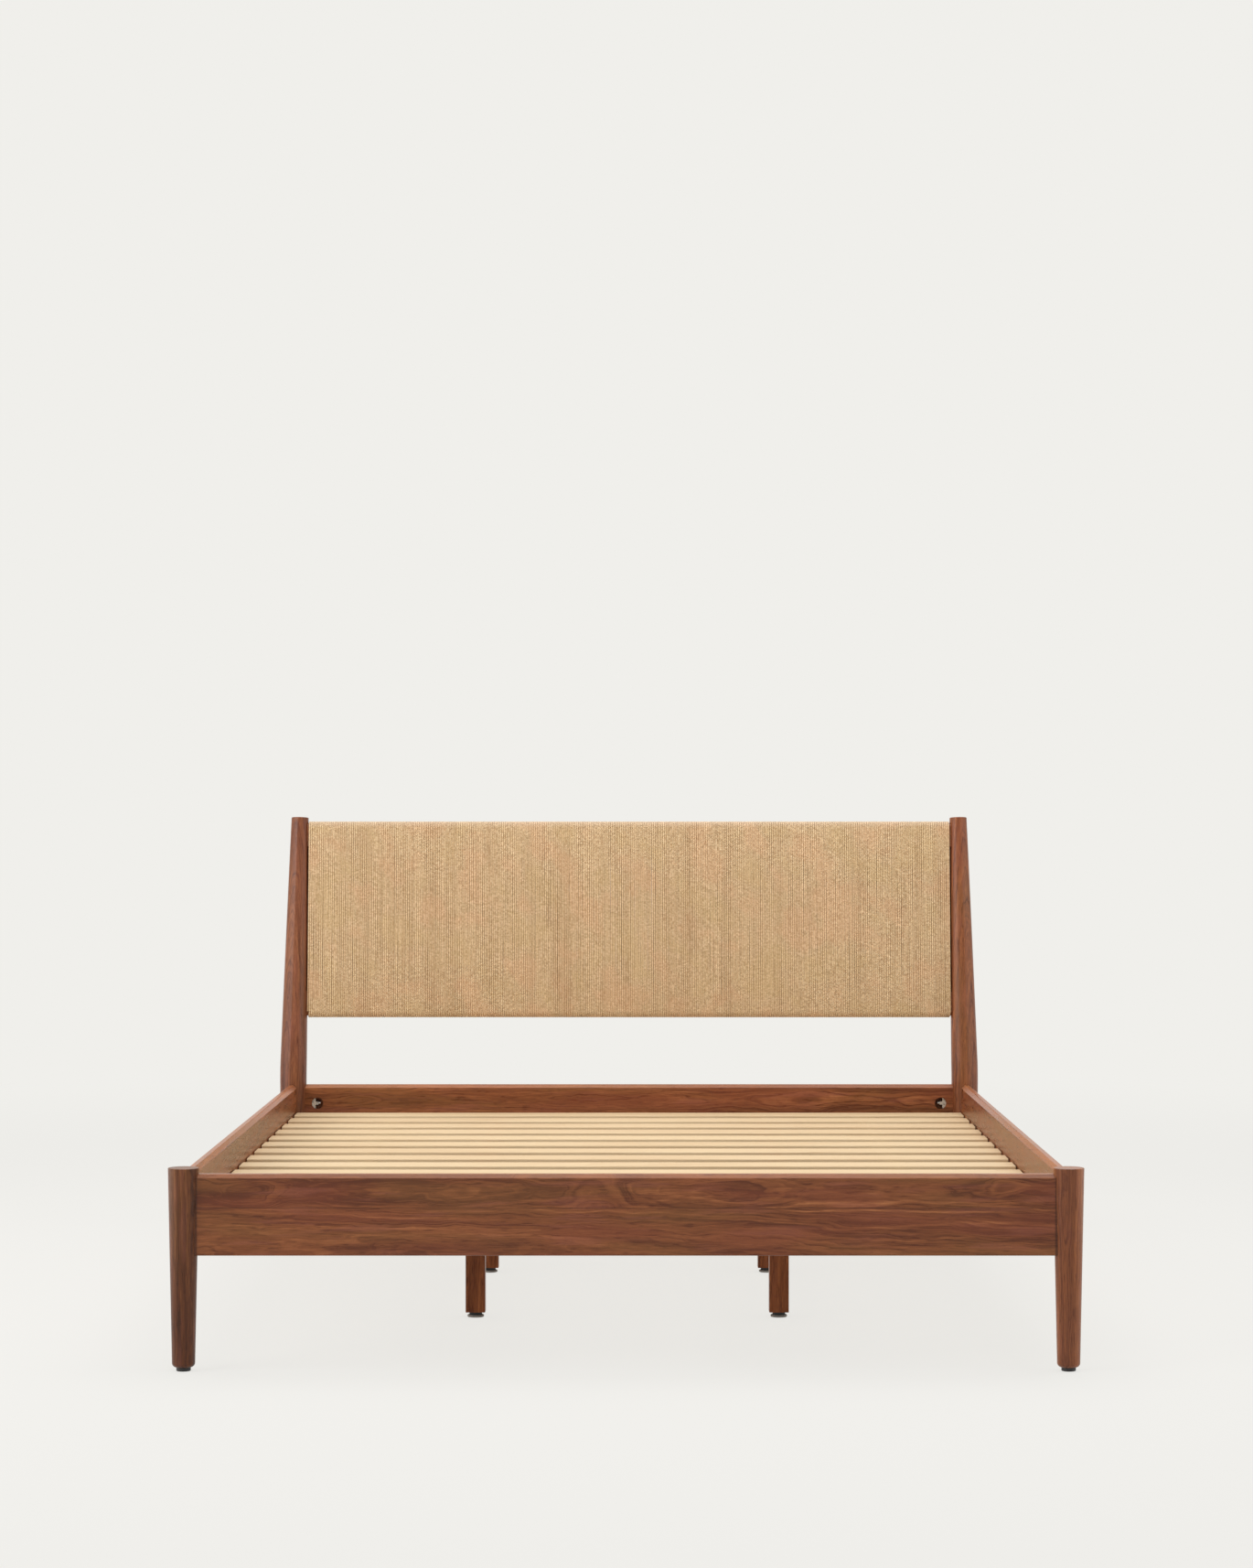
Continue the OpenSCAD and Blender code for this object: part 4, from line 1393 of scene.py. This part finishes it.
@dataclass(frozen=True)
class Lamp:
    """A soft rectangular lamp: its place, the point that it faces, its width and height, and its watts."""

    name: str
    place: Spot
    aim: Spot
    size: tuple[float, float]
    power: float

    def hang(self) -> None:
        """Adds the lamp to the scene."""
        data = bpy.data.lights.new(self.name, "AREA")
        data.shape = "RECTANGLE"
        data.size, data.size_y = self.size
        data.energy = self.power
        lamp = linked(self.name, data)
        lamp.location = self.place
        lamp.rotation_euler = (Vector(self.aim) - Vector(self.place)).to_track_quat("-Z", "Y").to_euler()


@dataclass
class Studio:
    """The camera at the photograph's viewing angle, a plain pale floor and soft light."""

    lens: float = 80.79
    eye: Spot = (0.0227, -7.5907, 1.0581)
    shift: tuple[float, float] = (-0.00754, 0.01079)
    backdrop: Colour = tint(240, 239, 235)
    floor_reach: float = 45.0
    floor_matt: Colour = tint(219, 217, 214)
    shadow_share: float = 0.16
    shadow_reach: tuple[float, float] = (2.2, 6.0)
    world_light: float = 0.50
    lamps: tuple[Lamp, ...] = (
        Lamp("key", (-5.2, -3.6, 3.2), (0.0, -0.3, 0.45), (3.4, 2.6), 130),
        Lamp("top", (0.3, 0.2, 4.4), (0.0, 0.0, 0.3), (4.6, 4.2), 180),
        Lamp("left", (-3.6, -0.8, 1.0), (0.0, -0.8, 0.4), (3.8, 2.0), 46),
        Lamp("right", (3.6, -0.8, 1.0), (0.0, -0.8, 0.4), (3.8, 2.0), 28),
    )

    def build(self) -> None:
        """Sets the whole studio."""
        self._camera()
        self._floor()
        self._world()
        for lamp in self.lamps:
            lamp.hang()
        bpy.context.scene.view_settings.view_transform = "Standard"

    def _camera(self) -> None:
        """The camera, level and in front of the foot of the bed."""
        data = bpy.data.cameras.new("camera")
        data.lens = self.lens
        data.sensor_width = 36
        data.shift_x, data.shift_y = self.shift
        data.clip_end = 200
        camera = linked("camera", data)
        camera.location = self.eye
        camera.rotation_euler = (math.pi / 2, 0, 0)
        bpy.context.scene.camera = camera

    def _floor(self) -> None:
        """A round floor that fades into the backdrop's colour before its edge and keeps the bed's shadow."""
        floor = primitive("circle", "studio_floor", vertices=96, radius=self.floor_reach, fill_type="NGON")
        deselect()
        paint = Paint.new("studio_floor")
        x, y, _ = paint.place()
        away = (x * x + y * y) ** 0.5
        shadow = (1 - away.between(*self.shadow_reach)) * self.shadow_share
        matt = paint.add("ShaderNodeBsdfDiffuse", inputs={"Color": self.floor_matt})
        glow = paint.add("ShaderNodeEmission", inputs={"Color": self.backdrop, "Strength": 1.0})
        share = self._seen(paint) * (1 - shadow)
        mixed = paint.add("ShaderNodeMixShader", inputs={0: share, 1: matt, 2: glow})
        paint.add("ShaderNodeOutputMaterial", inputs={"Surface": mixed})
        floor.data.materials.append(paint.owner)

    @staticmethod
    def _seen(paint: Paint) -> Term:
        """Tells what the camera sees from light that only falls on things.

        Args:
            paint: The tree of the floor or the world.

        Returns:
            1 for what the camera sees, by itself or in a gloss, and 0 for the rest.
        """
        camera, gloss, through = (
            paint.add("ShaderNodeLightPath", output=name)
            for name in ("Is Camera Ray", "Is Glossy Ray", "Is Transmission Ray")
        )
        return (camera + gloss + through).between(0.0, 1.0)

    def _world(self) -> None:
        """An even sky that shows as the backdrop and lights the bed softly."""
        world = bpy.data.worlds.new("studio")
        bpy.context.scene.world = world
        paint = Paint(world)
        colour = paint.coats((self.world_light,) * 3 + (1.0,), (self._seen(paint), self.backdrop))
        glow = paint.add("ShaderNodeBackground", inputs={"Color": colour, "Strength": 1.0})
        paint.add("ShaderNodeOutputWorld", inputs={"Surface": glow})


def main() -> None:
    """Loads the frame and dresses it."""
    logging.basicConfig(level=logging.INFO, format="%(name)s %(message)s")
    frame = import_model()
    work = CadWork(frame["nodes"])
    Joinery(work).dress()
    CordHeadboard().dress(work)
    SlattedBase(work).dress()
    Fittings(work).dress()
    Studio().build()


if __name__ == "__main__":
    main()
